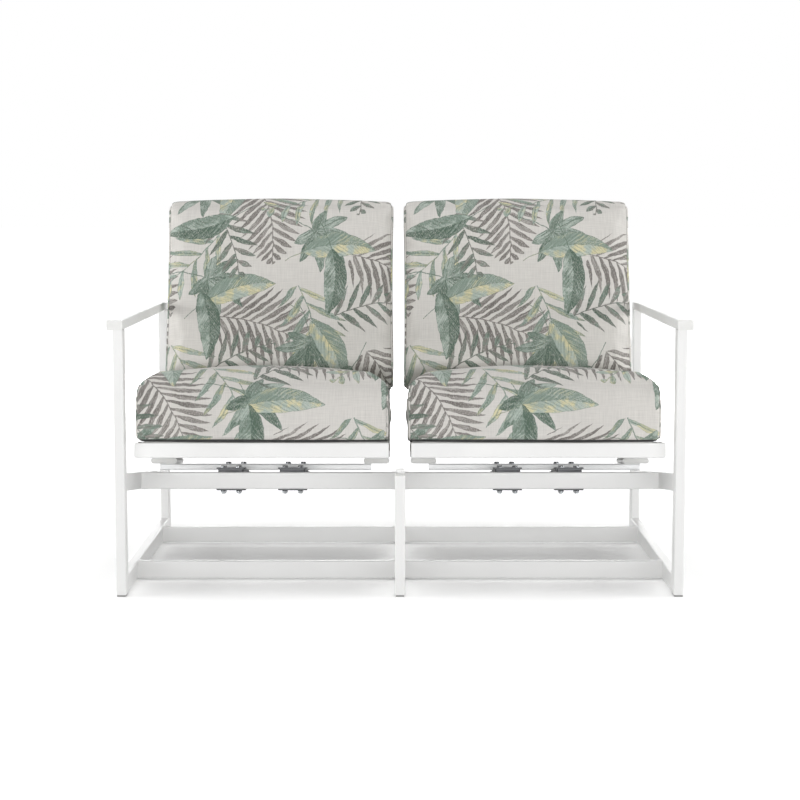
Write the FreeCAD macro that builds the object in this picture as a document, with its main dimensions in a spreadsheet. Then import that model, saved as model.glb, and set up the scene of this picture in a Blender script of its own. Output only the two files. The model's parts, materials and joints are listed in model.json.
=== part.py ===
import FreeCAD, Part
import os
import Sketcher

# A porch loveseat with two cushioned seats that rock on leaf springs inside one fixed tube frame.
# Millimetres and degrees. The origin is on the floor at the middle of the whole, +Y is the back.

SIZES = {
    # Fixed frame
    "frame_depth": 910,
    "arm_height": 676,
    "arm_width": 38,
    "arm_thickness": 25,
    "tube_width": 25,
    "tube_height": 44,
    "tube_corner": 4,
    "tube_wall": 2,
    "mid_rail_height": 299,
    "seat_pitch": 7.7,
    "front_stretcher_setback": 205,
    "rear_stretcher_setback": 711,
    "spring_rail_setback": 260,
    "spring_rail_depth": 50,
    "spring_rail_wall": 2.5,
    # Plugs, caps, glides and frame bolts
    "end_plate_thickness": 10,
    "end_plate_lip": 1,
    "plug_length": 30,
    "plug_clearance": 0.3,
    "cap_thickness": 2.5,
    "cap_plug_length": 14,
    "glide_height": 5,
    "glide_inset": 1.5,
    "bolt_diameter": 8,
    "bolt_clearance": 0.3,
    "frame_bolt_spacing": 22,
    "button_head_diameter": 15,
    "button_head_height": 4.5,
    # Leaf springs and their clamps
    "spring_spacing": 159,
    "spring_offset": 16,
    "leaf_width": 65,
    "leaf_thickness": 4,
    "helper_thickness": 2,
    "leaf_front_reach": 3,
    "leaf_rear_reach": 6,
    "leaf_corner": 4,
    "clamp_plate_width": 74,
    "clamp_plate_thickness": 3.5,
    "clamp_bolt_spacing": 40,
    "clamp_bolt_depth_spacing": 26,
    "hex_width": 13,
    "hex_head_height": 5.3,
    "hex_nut_height": 6.5,
    "bolt_end": 2.5,
    # Spring bar and the brackets on it
    "bar_setback": 409,
    "bar_end_inset": 32.5,
    "bar_depth": 40,
    "bar_height": 17,
    "bar_wall": 2.5,
    "bar_bolt_depth_spacing": 20,
    "bracket_width": 68,
    "bracket_thickness": 15.5,
    "bracket_length": 160,
    "bracket_corner": 7,
    "bracket_wall": 2.5,
    # Seat and back frame, one per seat
    "seat_width": 627,
    "seat_side_clearance": 12,
    "seat_centre_clearance": 15.5,
    "seat_depth": 685,
    "seat_front_setback": 36,
    "seat_tube_width": 25,
    "seat_tube_height": 38,
    "seat_rail_end_corner": 5,
    "back_recline": 9,
    "back_height": 610,
    "back_tube_depth": 32,
    "strap_width": 50,
    "strap_thickness": 2,
    "seat_strap_spacing": 95,
    "back_strap_spacing": 100,
    "strap_margin": 30,
    # Loose cushions, one pair per seat
    "cushion_clearance": 0.3,
    "cushion_side_inset": 2.5,
    "left_cushion_shift": 1,
    "right_cushion_shift": -9,
    "back_cushion_shift": 5,
    "seat_cushion_overhang": 8,
    "seat_cushion_thickness": 156,
    "seat_cushion_crown": 45,
    "back_cushion_height": 520,
    "back_cushion_thickness": 112,
    "back_cushion_crown": 24,
    "cushion_draw": 7,
    "cushion_bulge": 9,
    "cushion_side_ease": 16,
}

doc = FreeCAD.newDocument("rocker_bench")
dims = doc.addObject("Spreadsheet::Sheet", "dims")
for row, (alias, size) in enumerate(SIZES.items(), start=1):
    dims.set(f"A{row}", str(size))
    dims.setAlias(f"A{row}", alias)
doc.recompute()

parts = []


def value(formula):
    """The number that a formula of sheet cells gives."""
    number = dims.evalExpression(formula)
    return float(getattr(number, "Value", number))


def at(x, y, z, turn="rotationx(0)"):
    """A placement formula."""
    return f"placement(vector({x}; {y}; {z}); {turn})"


def node(piece, label, place=None):
    """Names a finished sub-part, places it and keeps it for writing."""
    piece.Label = label
    if place:
        piece.setExpression("Placement", place)
    parts.append(piece)
    return piece


def group(label, pieces):
    """Several separate solids under one node's name."""
    compound = doc.addObject("Part::Compound", label)
    compound.Links = pieces
    return node(compound, label)


# Sketch helpers

def sketch_on(body, role):
    plane = next(feature for feature in body.Origin.OriginFeatures if feature.Role == role)
    sketch = body.newObject("Sketcher::SketchObject", "outline")
    sketch.AttachmentSupport = [(plane, "")]
    sketch.MapMode = "FlatFace"
    return sketch


def bind(sketch, formula, *constraint):
    """Adds a dimension to a sketch and ties it to a formula."""
    index = sketch.addConstraint(Sketcher.Constraint(*constraint, value(formula)))
    sketch.setExpression(f"Constraints[{index}]", formula)


def add_rounded_rectangle(sketch, width, depth, corner):
    """A rectangle with round corners, centred on the sketch's origin."""
    half_x, half_y, radius = value(width) / 2, value(depth) / 2, value(corner)
    inner_x, inner_y = half_x - radius, half_y - radius
    start = sketch.GeometryCount
    quarter = FreeCAD.Units.Quantity("90 deg").getValueAs("rad").Value
    ends = [
        ((-inner_x, -half_y), (inner_x, -half_y)),
        ((half_x, -inner_y), (half_x, inner_y)),
        ((inner_x, half_y), (-inner_x, half_y)),
        ((-half_x, inner_y), (-half_x, -inner_y)),
    ]
    for first, last in ends:
        sketch.addGeometry(Part.LineSegment(FreeCAD.Vector(*first), FreeCAD.Vector(*last)))
    middles = [(inner_x, -inner_y), (inner_x, inner_y), (-inner_x, inner_y), (-inner_x, -inner_y)]
    for turn, middle in enumerate(middles):
        circle = Part.Circle(FreeCAD.Vector(*middle), FreeCAD.Vector(0, 0, 1), radius)
        sketch.addGeometry(Part.ArcOfCircle(circle, (turn - 1) * quarter, turn * quarter))
    for side in range(4):
        line, arc, following = start + side, start + 4 + side, start + (side + 1) % 4
        sketch.addConstraint(Sketcher.Constraint("Tangent", line, 2, arc, 1))
        sketch.addConstraint(Sketcher.Constraint("Tangent", arc, 2, following, 1))
        direction = "Horizontal" if side % 2 == 0 else "Vertical"
        sketch.addConstraint(Sketcher.Constraint(direction, line))
        if side:
            sketch.addConstraint(Sketcher.Constraint("Equal", start + 4, arc))
    bind(sketch, corner, "Radius", start + 4)
    bind(sketch, f"({width}) / 2", "DistanceX", -1, 1, start + 1, 1)
    bind(sketch, f"({width}) / 2", "DistanceX", start + 3, 1, -1, 1)
    bind(sketch, f"({depth}) / 2", "DistanceY", start, 1, -1, 1)
    bind(sketch, f"({depth}) / 2", "DistanceY", -1, 1, start + 2, 1)


def add_hole(sketch, x, y, diameter):
    middle = FreeCAD.Vector(value(x), value(y), 0)
    hole = sketch.addGeometry(Part.Circle(middle, FreeCAD.Vector(0, 0, 1), value(diameter) / 2))
    bind(sketch, diameter, "Diameter", hole)
    bind(sketch, x, "DistanceX", -1, 1, hole, 3)
    bind(sketch, y, "DistanceY", -1, 1, hole, 3)


# Solids that several sub-parts are made of

def extrusion(name, width, depth, corner, length, wall=None, holes=()):
    """A rounded rectangle padded up its own Z axis: a tube with a wall, or a plate with holes."""
    body = doc.addObject("PartDesign::Body", name)
    sketch = sketch_on(body, "XY_Plane")
    add_rounded_rectangle(sketch, width, depth, corner)
    if wall:
        inner_corner = f"max(({corner}) - ({wall}); ({corner}) / 4)"
        add_rounded_rectangle(sketch, f"({width}) - 2 * ({wall})", f"({depth}) - 2 * ({wall})", inner_corner)
    for x, y in holes:
        add_hole(sketch, x, y, BOLT_HOLE)
    pad = body.newObject("PartDesign::Pad", "pad")
    pad.Profile = sketch
    pad.setExpression("Length", length)
    sketch.Visibility = False
    return body


def drill(body, role, holes):
    """Bolt holes right through a body, along the normal of one of its own planes."""
    sketch = sketch_on(body, role)
    for x, y in holes:
        add_hole(sketch, x, y, BOLT_HOLE)
    pocket = body.newObject("PartDesign::Pocket", "bolt_holes")
    pocket.Profile = sketch
    pocket.Type = "ThroughAll"
    pocket.Midplane = True
    return body


def stepped_plug(name, flange, thickness, plug, plug_length, holes=()):
    """A flange with a narrower plug on top of it, each given as a width, a depth and a corner."""
    body = extrusion(name, *flange, thickness, holes=holes)
    sketch = sketch_on(body, "XY_Plane")
    add_rounded_rectangle(sketch, *plug)
    for x, y in holes:
        add_hole(sketch, x, y, BOLT_HOLE)
    pad = body.newObject("PartDesign::Pad", "plug")
    pad.Profile = sketch
    pad.setExpression("Length", f"({thickness}) + ({plug_length})")
    sketch.Visibility = False
    return body


def box(name, length, width, height, place):
    solid = doc.addObject("Part::Box", name)
    solid.setExpression("Length", length)
    solid.setExpression("Width", width)
    solid.setExpression("Height", height)
    solid.setExpression("Placement", place)
    return solid


def cylinder(name, diameter, height, place):
    solid = doc.addObject("Part::Cylinder", name)
    solid.setExpression("Radius", f"({diameter}) / 2")
    solid.setExpression("Height", height)
    solid.setExpression("Placement", place)
    return solid


def hexagon(name, across_flats, height, place):
    solid = doc.addObject("Part::Prism", name)
    solid.Polygon = 6
    solid.setExpression("Circumradius", f"({across_flats}) / sqrt(3)")
    solid.setExpression("Height", height)
    solid.setExpression("Placement", place)
    return solid


def fuse(name, *pieces):
    solid = doc.addObject("Part::MultiFuse", name)
    solid.Shapes = list(pieces)
    return solid


def cut(name, base, tool):
    solid = doc.addObject("Part::Cut", name)
    solid.Base = base
    solid.Tool = tool
    return solid


def common(name, *pieces):
    solid = doc.addObject("Part::MultiCommon", name)
    solid.Shapes = list(pieces)
    return solid


def hex_bolt(name, frame, x, y, foot, grip):
    """A hexagon bolt whose head sits on top of its grip, and the nut below."""
    head_seat = f"({foot}) + ({grip})"
    nut_place = f"{frame} * {at(x, y, f'({foot}) - dims.hex_nut_height')}"
    shank_foot = f"({foot}) - dims.hex_nut_height - dims.bolt_end"
    head = hexagon(name, "dims.hex_width", "dims.hex_head_height", f"{frame} * {at(x, y, head_seat)}")
    shank = cylinder(
        name,
        "dims.bolt_diameter",
        f"({grip}) + dims.hex_nut_height + dims.bolt_end",
        f"{frame} * {at(x, y, shank_foot)}",
    )
    nut = cut(
        name,
        hexagon(name, "dims.hex_width", "dims.hex_nut_height", nut_place),
        cylinder(name, BOLT_HOLE, "dims.hex_nut_height", nut_place),
    )
    return [fuse(name, head, shank), nut]


# Places that several sub-parts share

BOLT_HOLE = "dims.bolt_diameter + 2 * dims.bolt_clearance"
ALONG_Y = "rotationx(-90)"
ALONG_X = "rotationy(90)"
BAY_START = "(dims.tube_width / 2)"
BAY_WIDTH = "(dims.seat_centre_clearance + dims.seat_width + dims.seat_side_clearance)"
LEG_INNER = f"({BAY_START} + {BAY_WIDTH})"
LEG_MIDDLE = f"({LEG_INNER} + dims.tube_width / 2)"
RAIL_LENGTH = "(dims.frame_depth - 2 * dims.tube_height)"
ARM_UNDERSIDE = "(dims.arm_height - dims.arm_thickness)"
CENTRE_FRONT_TOP = "(dims.mid_rail_height - dims.cap_thickness)"
CENTRE_REAR_TOP = f"(dims.mid_rail_height - {RAIL_LENGTH} * tan(dims.seat_pitch) - dims.cap_thickness)"
FLOOR_RAIL_MIDDLE = "(dims.glide_height + dims.tube_height / 2)"
SEAT_MIDDLE = f"({BAY_START} + dims.seat_centre_clearance + dims.seat_width / 2)"
SPRING_MIDDLE = f"({SEAT_MIDDLE} + dims.spring_offset)"

# Heights above the mid rails' top plane, square to it
BAR_FOOT = "dims.leaf_thickness"
BRACKET_FOOT = f"({BAR_FOOT} + dims.bar_height)"
SEAT_FOOT = f"({BRACKET_FOOT} + dims.bracket_thickness)"
SEAT_TOP = f"({SEAT_FOOT} + dims.seat_tube_height)"
SEAT_CUSHION_FOOT = f"({SEAT_TOP} + dims.strap_thickness + dims.cushion_clearance)"

# The back leans away from square with the seat, and its foot stands on the rear end of the seat frame
BACK_FOOT_DEPTH = "(dims.back_tube_depth / cos(dims.back_recline))"
BACK_SETBACK = f"(dims.seat_front_setback + dims.seat_depth - {BACK_FOOT_DEPTH})"
LEAN = "(dims.seat_pitch + dims.back_recline)"
REAR_REACH = (
    f"(dims.tube_height + {BACK_SETBACK} * cos(dims.seat_pitch) + {SEAT_TOP} * sin(dims.seat_pitch)"
    f" + (dims.back_tube_depth - dims.tube_corner) * cos({LEAN})"
    f" + (dims.back_height - dims.tube_corner) * sin({LEAN}) + dims.tube_corner)"
)
FRONT = f"(-{REAR_REACH} / 2)"

# The sloped plane: X across, Y back along the slope from the front legs' rear faces, Z square to it
SLOPE = at("0", f"{FRONT} + dims.tube_height", "dims.mid_rail_height", "rotationx(-dims.seat_pitch)")
BACK = f"{SLOPE} * {at('0', BACK_SETBACK, SEAT_TOP, 'rotationx(-dims.back_recline)')}"

SIDES = {"left": -1, "right": 1}


# Fixed frame: legs, arms and rails

def leg(label, x, setback, foot, top):
    tube = extrusion(label, "dims.tube_width", "dims.tube_height", "dims.tube_corner",
                     f"({top}) - ({foot})", wall="dims.tube_wall")
    return node(tube, label, at(x, f"{FRONT} + ({setback}) + dims.tube_height / 2", foot))


def build_legs():
    rear = "dims.frame_depth - dims.tube_height"
    for side, sign in SIDES.items():
        x = f"{sign} * {LEG_MIDDLE}"
        leg(f"{side}_front_leg", x, "0", "dims.glide_height", ARM_UNDERSIDE)
        leg(f"{side}_rear_leg", x, rear, "dims.glide_height", ARM_UNDERSIDE)
    leg("centre_front_leg", "0", "0", "dims.glide_height", CENTRE_FRONT_TOP)
    leg("centre_rear_leg", "0", rear, "dims.glide_height", CENTRE_REAR_TOP)


def build_arms():
    length = "dims.frame_depth - 2 * dims.cap_thickness"
    for side, sign in SIDES.items():
        label = f"{side}_arm"
        tube = extrusion(label, "dims.arm_width", "dims.arm_thickness", "dims.tube_corner", length,
                         wall="dims.tube_wall")
        x = f"{sign} * ({LEG_INNER} + dims.arm_width / 2)"
        height = "dims.arm_height - dims.arm_thickness / 2"
        node(tube, label, at(x, f"{FRONT} + dims.cap_thickness", height, ALONG_Y))


def bolt_rows(along):
    """The two bolt holes of a cross rail's end, on a side rail's own Y and Z axes."""
    return [(f"{sign} * dims.frame_bolt_spacing / 2", along) for sign in (-1, 1)]


STRETCHER_ALONG = {
    "front": "(dims.front_stretcher_setback + dims.tube_width / 2)",
    "rear": "(dims.rear_stretcher_setback + dims.tube_width / 2)",
}
SPRING_RAIL_ALONG = "(dims.spring_rail_setback + dims.spring_rail_depth / 2)"
RAIL_PLACES = {"left": f"-{LEG_MIDDLE}", "centre": "0", "right": LEG_MIDDLE}


def build_floor_rails():
    holes = []
    for along in STRETCHER_ALONG.values():
        holes += bolt_rows(f"{along} - dims.tube_height")
    for name, x in RAIL_PLACES.items():
        label = f"{name}_floor_rail"
        tube = extrusion(label, "dims.tube_width", "dims.tube_height", "dims.tube_corner", RAIL_LENGTH,
                         wall="dims.tube_wall")
        drill(tube, "YZ_Plane", holes)
        node(tube, label, at(x, f"{FRONT} + dims.tube_height", FLOOR_RAIL_MIDDLE, ALONG_Y))


def build_mid_rails():
    """Sloping tubes whose ends are cut upright where they meet the legs."""
    overrun = "dims.tube_height"
    for name, x in RAIL_PLACES.items():
        label = f"{name}_mid_rail"
        tube = extrusion(f"{label}_tube", "dims.tube_width", "dims.tube_height", "dims.tube_corner",
                         f"{RAIL_LENGTH} / cos(dims.seat_pitch) + 2 * {overrun}", wall="dims.tube_wall")
        drill(tube, "YZ_Plane", bolt_rows(f"{SPRING_RAIL_ALONG} + {overrun}"))
        middle = at(x, f"-{overrun}", "-dims.tube_height / 2", ALONG_Y)
        tube.setExpression("Placement", f"{SLOPE} * {middle}")
        between_legs = box(f"{label}_room", "dims.tube_width", RAIL_LENGTH, "2 * dims.mid_rail_height",
                           at(f"({x}) - dims.tube_width / 2", f"{FRONT} + dims.tube_height", "0"))
        node(common(label, tube, between_legs), label)


def bay_start(sign):
    """Where a cross rail's tube starts, the left one running from the legs to the centre."""
    start = BAY_START if sign > 0 else f"-{LEG_INNER}"
    return f"({start} + dims.end_plate_thickness)"


CROSS_LENGTH = f"({BAY_WIDTH} - 2 * dims.end_plate_thickness)"


def build_cross_rails():
    for side, sign in SIDES.items():
        label = f"{side}_spring_rail"
        tube = extrusion(label, "dims.tube_height", "dims.spring_rail_depth", "dims.tube_corner",
                         CROSS_LENGTH, wall="dims.spring_rail_wall")
        along = [f"{sign} * {x} - {bay_start(sign)}" for x in clamp_bolt_places()]
        drill(tube, "YZ_Plane", [(depth, x) for x in along for depth in clamp_bolt_depths()])
        middle = at(bay_start(sign), SPRING_RAIL_ALONG, "-dims.tube_height / 2", ALONG_X)
        node(tube, label, f"{SLOPE} * {middle}")
        for name, along in STRETCHER_ALONG.items():
            label = f"{side}_{name}_stretcher"
            tube = extrusion(label, "dims.tube_height", "dims.tube_width", "dims.tube_corner",
                             CROSS_LENGTH, wall="dims.tube_wall")
            node(tube, label, at(bay_start(sign), f"{FRONT} + {along}", FLOOR_RAIL_MIDDLE, ALONG_X))


def clamp_bolt_places():
    """Distances of the clamps' bolts from the middle of the whole, two per spring."""
    return [
        f"({SPRING_MIDDLE} + {spring} * dims.spring_spacing / 2 + {bolt} * dims.clamp_bolt_spacing / 2)"
        for spring in (-1, 1)
        for bolt in (-1, 1)
    ]


def clamp_bolt_depths():
    return [f"{sign} * dims.clamp_bolt_depth_spacing / 2" for sign in (-1, 1)]


# Plugs, bolts, caps and glides of the fixed frame

def end_plug(name, depth, wall):
    """A cross rail's end: a plate a little larger than the rail, with a plug that fills its bore."""
    shrink = f"2 * ({wall} + dims.plug_clearance)"
    holes = [(f"{sign} * dims.frame_bolt_spacing / 2", "0") for sign in (-1, 1)]
    plate = (
        "dims.tube_height + 2 * dims.end_plate_lip",
        f"{depth} + 2 * dims.end_plate_lip",
        "dims.tube_corner + dims.end_plate_lip",
    )
    plug = (f"dims.tube_height - {shrink}", f"{depth} - {shrink}", "dims.tube_corner / 2")
    return stepped_plug(name, plate, "dims.end_plate_thickness", plug, "dims.plug_length", holes)


def cross_rail_frames():
    """Each kind of cross rail: its middle line's frame, its depth and its wall."""
    spring = f"{SLOPE} * {at('0', SPRING_RAIL_ALONG, '-dims.tube_height / 2')}"
    frames = [(spring, "dims.spring_rail_depth", "dims.spring_rail_wall")]
    for along in STRETCHER_ALONG.values():
        floor = at("0", f"{FRONT} + {along}", FLOOR_RAIL_MIDDLE)
        frames.append((floor, "dims.tube_width", "dims.tube_wall"))
    return frames


def build_end_plugs():
    plugs = []
    for frame, depth, wall in cross_rail_frames():
        for sign in SIDES.values():
            for x, turn in ((BAY_START, 1), (LEG_INNER, -1)):
                plug = end_plug("end_plug", depth, wall)
                facing = at(f"{sign} * {x}", "0", "0", f"rotationy({90 * turn * sign})")
                plug.setExpression("Placement", f"{frame} * {facing}")
                plugs.append(plug)
    group("rail_end_plugs", plugs)


def build_rail_bolts():
    """Button head bolts through the outer rails, and studs through the centre rails."""
    reach = "(dims.end_plate_thickness + dims.plug_length)"
    bolts = []
    for frame, *_ in cross_rail_frames():
        for row in (-1, 1):
            height = f"{row} * dims.frame_bolt_spacing / 2"
            stud_start = at(f"-({BAY_START} + {reach})", "0", height, ALONG_X)
            bolts.append(cylinder("stud", "dims.bolt_diameter", f"2 * ({BAY_START} + {reach})",
                                  f"{frame} * {stud_start}"))
            for sign in SIDES.values():
                seat = f"{sign} * ({LEG_INNER} + dims.tube_width)"
                outward = f"{frame} * {at(seat, '0', height, f'rotationy({90 * sign})')}"
                inward = f"{frame} * {at(seat, '0', height, f'rotationy({-90 * sign})')}"
                head = cylinder("button_head", "dims.button_head_diameter", "dims.button_head_height", outward)
                shank = cylinder("shank", "dims.bolt_diameter", f"dims.tube_width + {reach}", inward)
                bolts.append(fuse("rail_bolt", head, shank))
    group("rail_bolts", bolts)


def bore_plug(width, depth):
    """The outline that fills a tube's bore with a little clearance."""
    shrink = "2 * (dims.tube_wall + dims.plug_clearance)"
    return f"{width} - {shrink}", f"{depth} - {shrink}", "dims.tube_corner / 2"


def tube_cap(name, width, depth):
    """A thin cap over a tube's end with a plug in the bore."""
    cover = (width, depth, "dims.tube_corner")
    return stepped_plug(name, cover, "dims.cap_thickness", bore_plug(width, depth), "dims.cap_plug_length")


def build_caps():
    caps = []
    arm_height = "dims.arm_height - dims.arm_thickness / 2"
    for sign in SIDES.values():
        x = f"{sign} * ({LEG_INNER} + dims.arm_width / 2)"
        for y, turn in ((FRONT, -90), (f"{FRONT} + dims.frame_depth", 90)):
            cap = tube_cap("arm_cap", "dims.arm_width", "dims.arm_thickness")
            cap.setExpression("Placement", at(x, y, arm_height, f"rotationx({turn})"))
            caps.append(cap)
    rear = "(dims.frame_depth - dims.tube_height)"
    for setback, top in (("0", CENTRE_FRONT_TOP), (rear, CENTRE_REAR_TOP)):
        cap = tube_cap("leg_cap", "dims.tube_width", "dims.tube_height")
        y = f"{FRONT} + {setback} + dims.tube_height / 2"
        cap.setExpression("Placement", at("0", y, f"{top} + dims.cap_thickness", "rotationx(180)"))
        caps.append(cap)
    group("tube_end_caps", caps)


def build_glides():
    inset = "2 * dims.glide_inset"
    pad = (f"dims.tube_width - {inset}", f"dims.tube_height - {inset}", "dims.tube_corner")
    plug = bore_plug("dims.tube_width", "dims.tube_height")
    glides = []
    for x in RAIL_PLACES.values():
        for setback in ("0", "(dims.frame_depth - dims.tube_height)"):
            glide = stepped_plug("glide", pad, "dims.glide_height", plug, "dims.cap_plug_length")
            y = f"{FRONT} + {setback} + dims.tube_height / 2"
            glide.setExpression("Placement", at(x, y, "0"))
            glides.append(glide)
    group("foot_glides", glides)


# Leaf springs and their clamps

def spring_places(sign):
    return [f"{sign} * ({SPRING_MIDDLE} + {spring} * dims.spring_spacing / 2)" for spring in (-1, 1)]


def bolt_square(depth_spacing):
    """Four bolt holes about the middle of a clamp."""
    return [
        (f"{i} * dims.clamp_bolt_spacing / 2", f"{j} * {depth_spacing} / 2")
        for i in (-1, 1)
        for j in (-1, 1)
    ]


BAR_ALONG = "(dims.bar_setback + dims.bar_depth / 2)"
LEAF_START = "(dims.spring_rail_setback - dims.leaf_front_reach)"
LEAF_LENGTH = f"(dims.bar_setback + dims.bar_depth + dims.leaf_rear_reach - {LEAF_START})"
LEAF_MIDDLE = f"({LEAF_START} + {LEAF_LENGTH} / 2)"
CLAMP_SQUARE = bolt_square("dims.clamp_bolt_depth_spacing")
BAR_SQUARE = bolt_square("dims.bar_bolt_depth_spacing")
HELPER_DEPTH = "dims.spring_rail_depth + 2 * dims.leaf_front_reach"
HELPER_COUNT = 2
PACK_TOP = f"(dims.leaf_thickness + {HELPER_COUNT} * dims.helper_thickness)"


def build_leaf_springs():
    """The long leaves, clamped to the spring rail at the front and to the spring bar at the back."""
    holes = [(x, f"{y} + {SPRING_RAIL_ALONG} - {LEAF_MIDDLE}") for x, y in CLAMP_SQUARE]
    holes += [(x, f"{y} + {BAR_ALONG} - {LEAF_MIDDLE}") for x, y in BAR_SQUARE]
    for side, sign in SIDES.items():
        leaves = []
        for x in spring_places(sign):
            leaf = extrusion("leaf", "dims.leaf_width", LEAF_LENGTH, "dims.leaf_corner",
                             "dims.leaf_thickness", holes=holes)
            leaf.setExpression("Placement", f"{SLOPE} * {at(x, LEAF_MIDDLE, '0')}")
            leaves.append(leaf)
        group(f"{side}_leaf_springs", leaves)


def all_spring_places():
    return [x for sign in SIDES.values() for x in spring_places(sign)]


def build_clamps():
    helpers, plates, bolts = [], [], []
    grip_foot = "(-dims.tube_height - dims.clamp_plate_thickness)"
    grip = f"({PACK_TOP} + dims.tube_height + 2 * dims.clamp_plate_thickness)"
    for x in all_spring_places():
        for count in range(HELPER_COUNT):
            helper = extrusion("helper_leaf", "dims.leaf_width", HELPER_DEPTH, "dims.leaf_corner",
                               "dims.helper_thickness", holes=CLAMP_SQUARE)
            foot = f"dims.leaf_thickness + {count} * dims.helper_thickness"
            helper.setExpression("Placement", f"{SLOPE} * {at(x, SPRING_RAIL_ALONG, foot)}")
            helpers.append(helper)
        for foot in (PACK_TOP, grip_foot):
            plate = extrusion("clamp_plate", "dims.clamp_plate_width", "dims.spring_rail_depth",
                              "dims.leaf_corner", "dims.clamp_plate_thickness", holes=CLAMP_SQUARE)
            plate.setExpression("Placement", f"{SLOPE} * {at(x, SPRING_RAIL_ALONG, foot)}")
            plates.append(plate)
        for bolt_x, bolt_y in CLAMP_SQUARE:
            bolts += hex_bolt("clamp_bolt", SLOPE, f"{x} + {bolt_x}", f"{SPRING_RAIL_ALONG} + {bolt_y}",
                              grip_foot, grip)
    group("helper_leaves", helpers)
    group("clamp_plates", plates)
    group("clamp_bolts", bolts)


# Seat mechanism: the bar on the springs and the brackets that carry the seat

def build_spring_bar(side, sign):
    label = f"{side}_spring_bar"
    length = "(dims.seat_width - 2 * dims.bar_end_inset)"
    start = f"{sign} * {SPRING_MIDDLE} - {length} / 2"
    tube = extrusion(label, "dims.bar_height", "dims.bar_depth", "dims.tube_corner", length,
                     wall="dims.bar_wall")
    holes = [
        (bolt_y, f"{x} + {bolt_x} - ({start})")
        for x in spring_places(sign)
        for bolt_x, bolt_y in BAR_SQUARE
    ]
    drill(tube, "YZ_Plane", holes)
    middle = at(start, BAR_ALONG, f"{BAR_FOOT} + dims.bar_height / 2", ALONG_X)
    node(tube, label, f"{SLOPE} * {middle}")

    keepers, bolts = [], []
    grip_foot = "(-dims.clamp_plate_thickness)"
    grip = f"(dims.clamp_plate_thickness + {BRACKET_FOOT})"
    for x in spring_places(sign):
        keeper = extrusion("keeper", "dims.clamp_plate_width", "dims.bar_depth", "dims.leaf_corner",
                           "dims.clamp_plate_thickness", holes=BAR_SQUARE)
        keeper.setExpression("Placement", f"{SLOPE} * {at(x, BAR_ALONG, grip_foot)}")
        keepers.append(keeper)
        for bolt_x, bolt_y in BAR_SQUARE:
            bolts += hex_bolt("bar_bolt", SLOPE, f"{x} + {bolt_x}", f"{BAR_ALONG} + {bolt_y}", grip_foot, grip)
    group(f"{side}_bar_keepers", keepers)
    group(f"{side}_bar_bolts", bolts)


BRACKET_START = f"({BAR_ALONG} - dims.bracket_length / 2)"
BRACKET_MIDDLE = f"({BRACKET_FOOT} + dims.bracket_thickness / 2)"


def bracket_places(sign):
    """Where the two brackets of a seat stand across the bench."""
    reach = "(dims.seat_width - dims.bracket_width) / 2"
    return [f"{sign} * {SEAT_MIDDLE} + {end} * {reach}" for end in SIDES.values()]


def build_brackets(side, sign):
    brackets = []
    for x in bracket_places(sign):
        bracket = extrusion("bracket", "dims.bracket_width", "dims.bracket_thickness", "dims.bracket_corner",
                            "dims.bracket_length", wall="dims.bracket_wall")
        bracket.setExpression("Placement", f"{SLOPE} * {at(x, BRACKET_START, BRACKET_MIDDLE, ALONG_Y)}")
        brackets.append(bracket)
    group(f"{side}_seat_brackets", brackets)


# Seat frame: rails, uprights and straps

SEAT_TUBE = ("dims.seat_tube_width", "dims.seat_tube_height", "dims.tube_corner")
SEAT_RAIL_MIDDLE = f"({SEAT_FOOT} + dims.seat_tube_height / 2)"
SIDE_RAIL_LENGTH = "(dims.seat_depth - 2 * dims.seat_tube_width)"


def build_end_rail(label, sign, along):
    """A seat rail across the whole seat, with its corners rounded in front view."""
    tube = extrusion(f"{label}_tube", "dims.seat_tube_height", "dims.seat_tube_width", "dims.tube_corner",
                     "dims.seat_width", wall="dims.tube_wall")
    start = at(f"{sign} * {SEAT_MIDDLE} - dims.seat_width / 2", along, SEAT_RAIL_MIDDLE, ALONG_X)
    tube.setExpression("Placement", f"{SLOPE} * {start}")
    outline = extrusion(f"{label}_outline", "dims.seat_width", "dims.seat_tube_height",
                        "dims.seat_rail_end_corner", "dims.seat_tube_width")
    face = at(f"{sign} * {SEAT_MIDDLE}", f"{along} - dims.seat_tube_width / 2", SEAT_RAIL_MIDDLE, ALONG_Y)
    outline.setExpression("Placement", f"{SLOPE} * {face}")
    node(common(label, tube, outline), label)


FRONT_RAIL_ALONG = "(dims.seat_front_setback + dims.seat_tube_width / 2)"
REAR_RAIL_ALONG = "(dims.seat_front_setback + dims.seat_depth - dims.seat_tube_width / 2)"
SIDE_RAIL_REACH = "(dims.seat_width - dims.seat_tube_width) / 2"


def build_seat_rails(side, sign):
    build_end_rail(f"{side}_seat_front_rail", sign, FRONT_RAIL_ALONG)
    build_end_rail(f"{side}_seat_rear_rail", sign, REAR_RAIL_ALONG)
    for name, end in SIDES.items():
        label = f"{side}_seat_{name}_rail"
        tube = extrusion(label, *SEAT_TUBE, SIDE_RAIL_LENGTH, wall="dims.tube_wall")
        place = at(f"{sign} * {SEAT_MIDDLE} + {end} * {SIDE_RAIL_REACH}",
                   "dims.seat_front_setback + dims.seat_tube_width", SEAT_RAIL_MIDDLE, ALONG_Y)
        node(tube, label, f"{SLOPE} * {place}")


UPRIGHT_TOP = "(dims.back_height - dims.seat_tube_width)"


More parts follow.
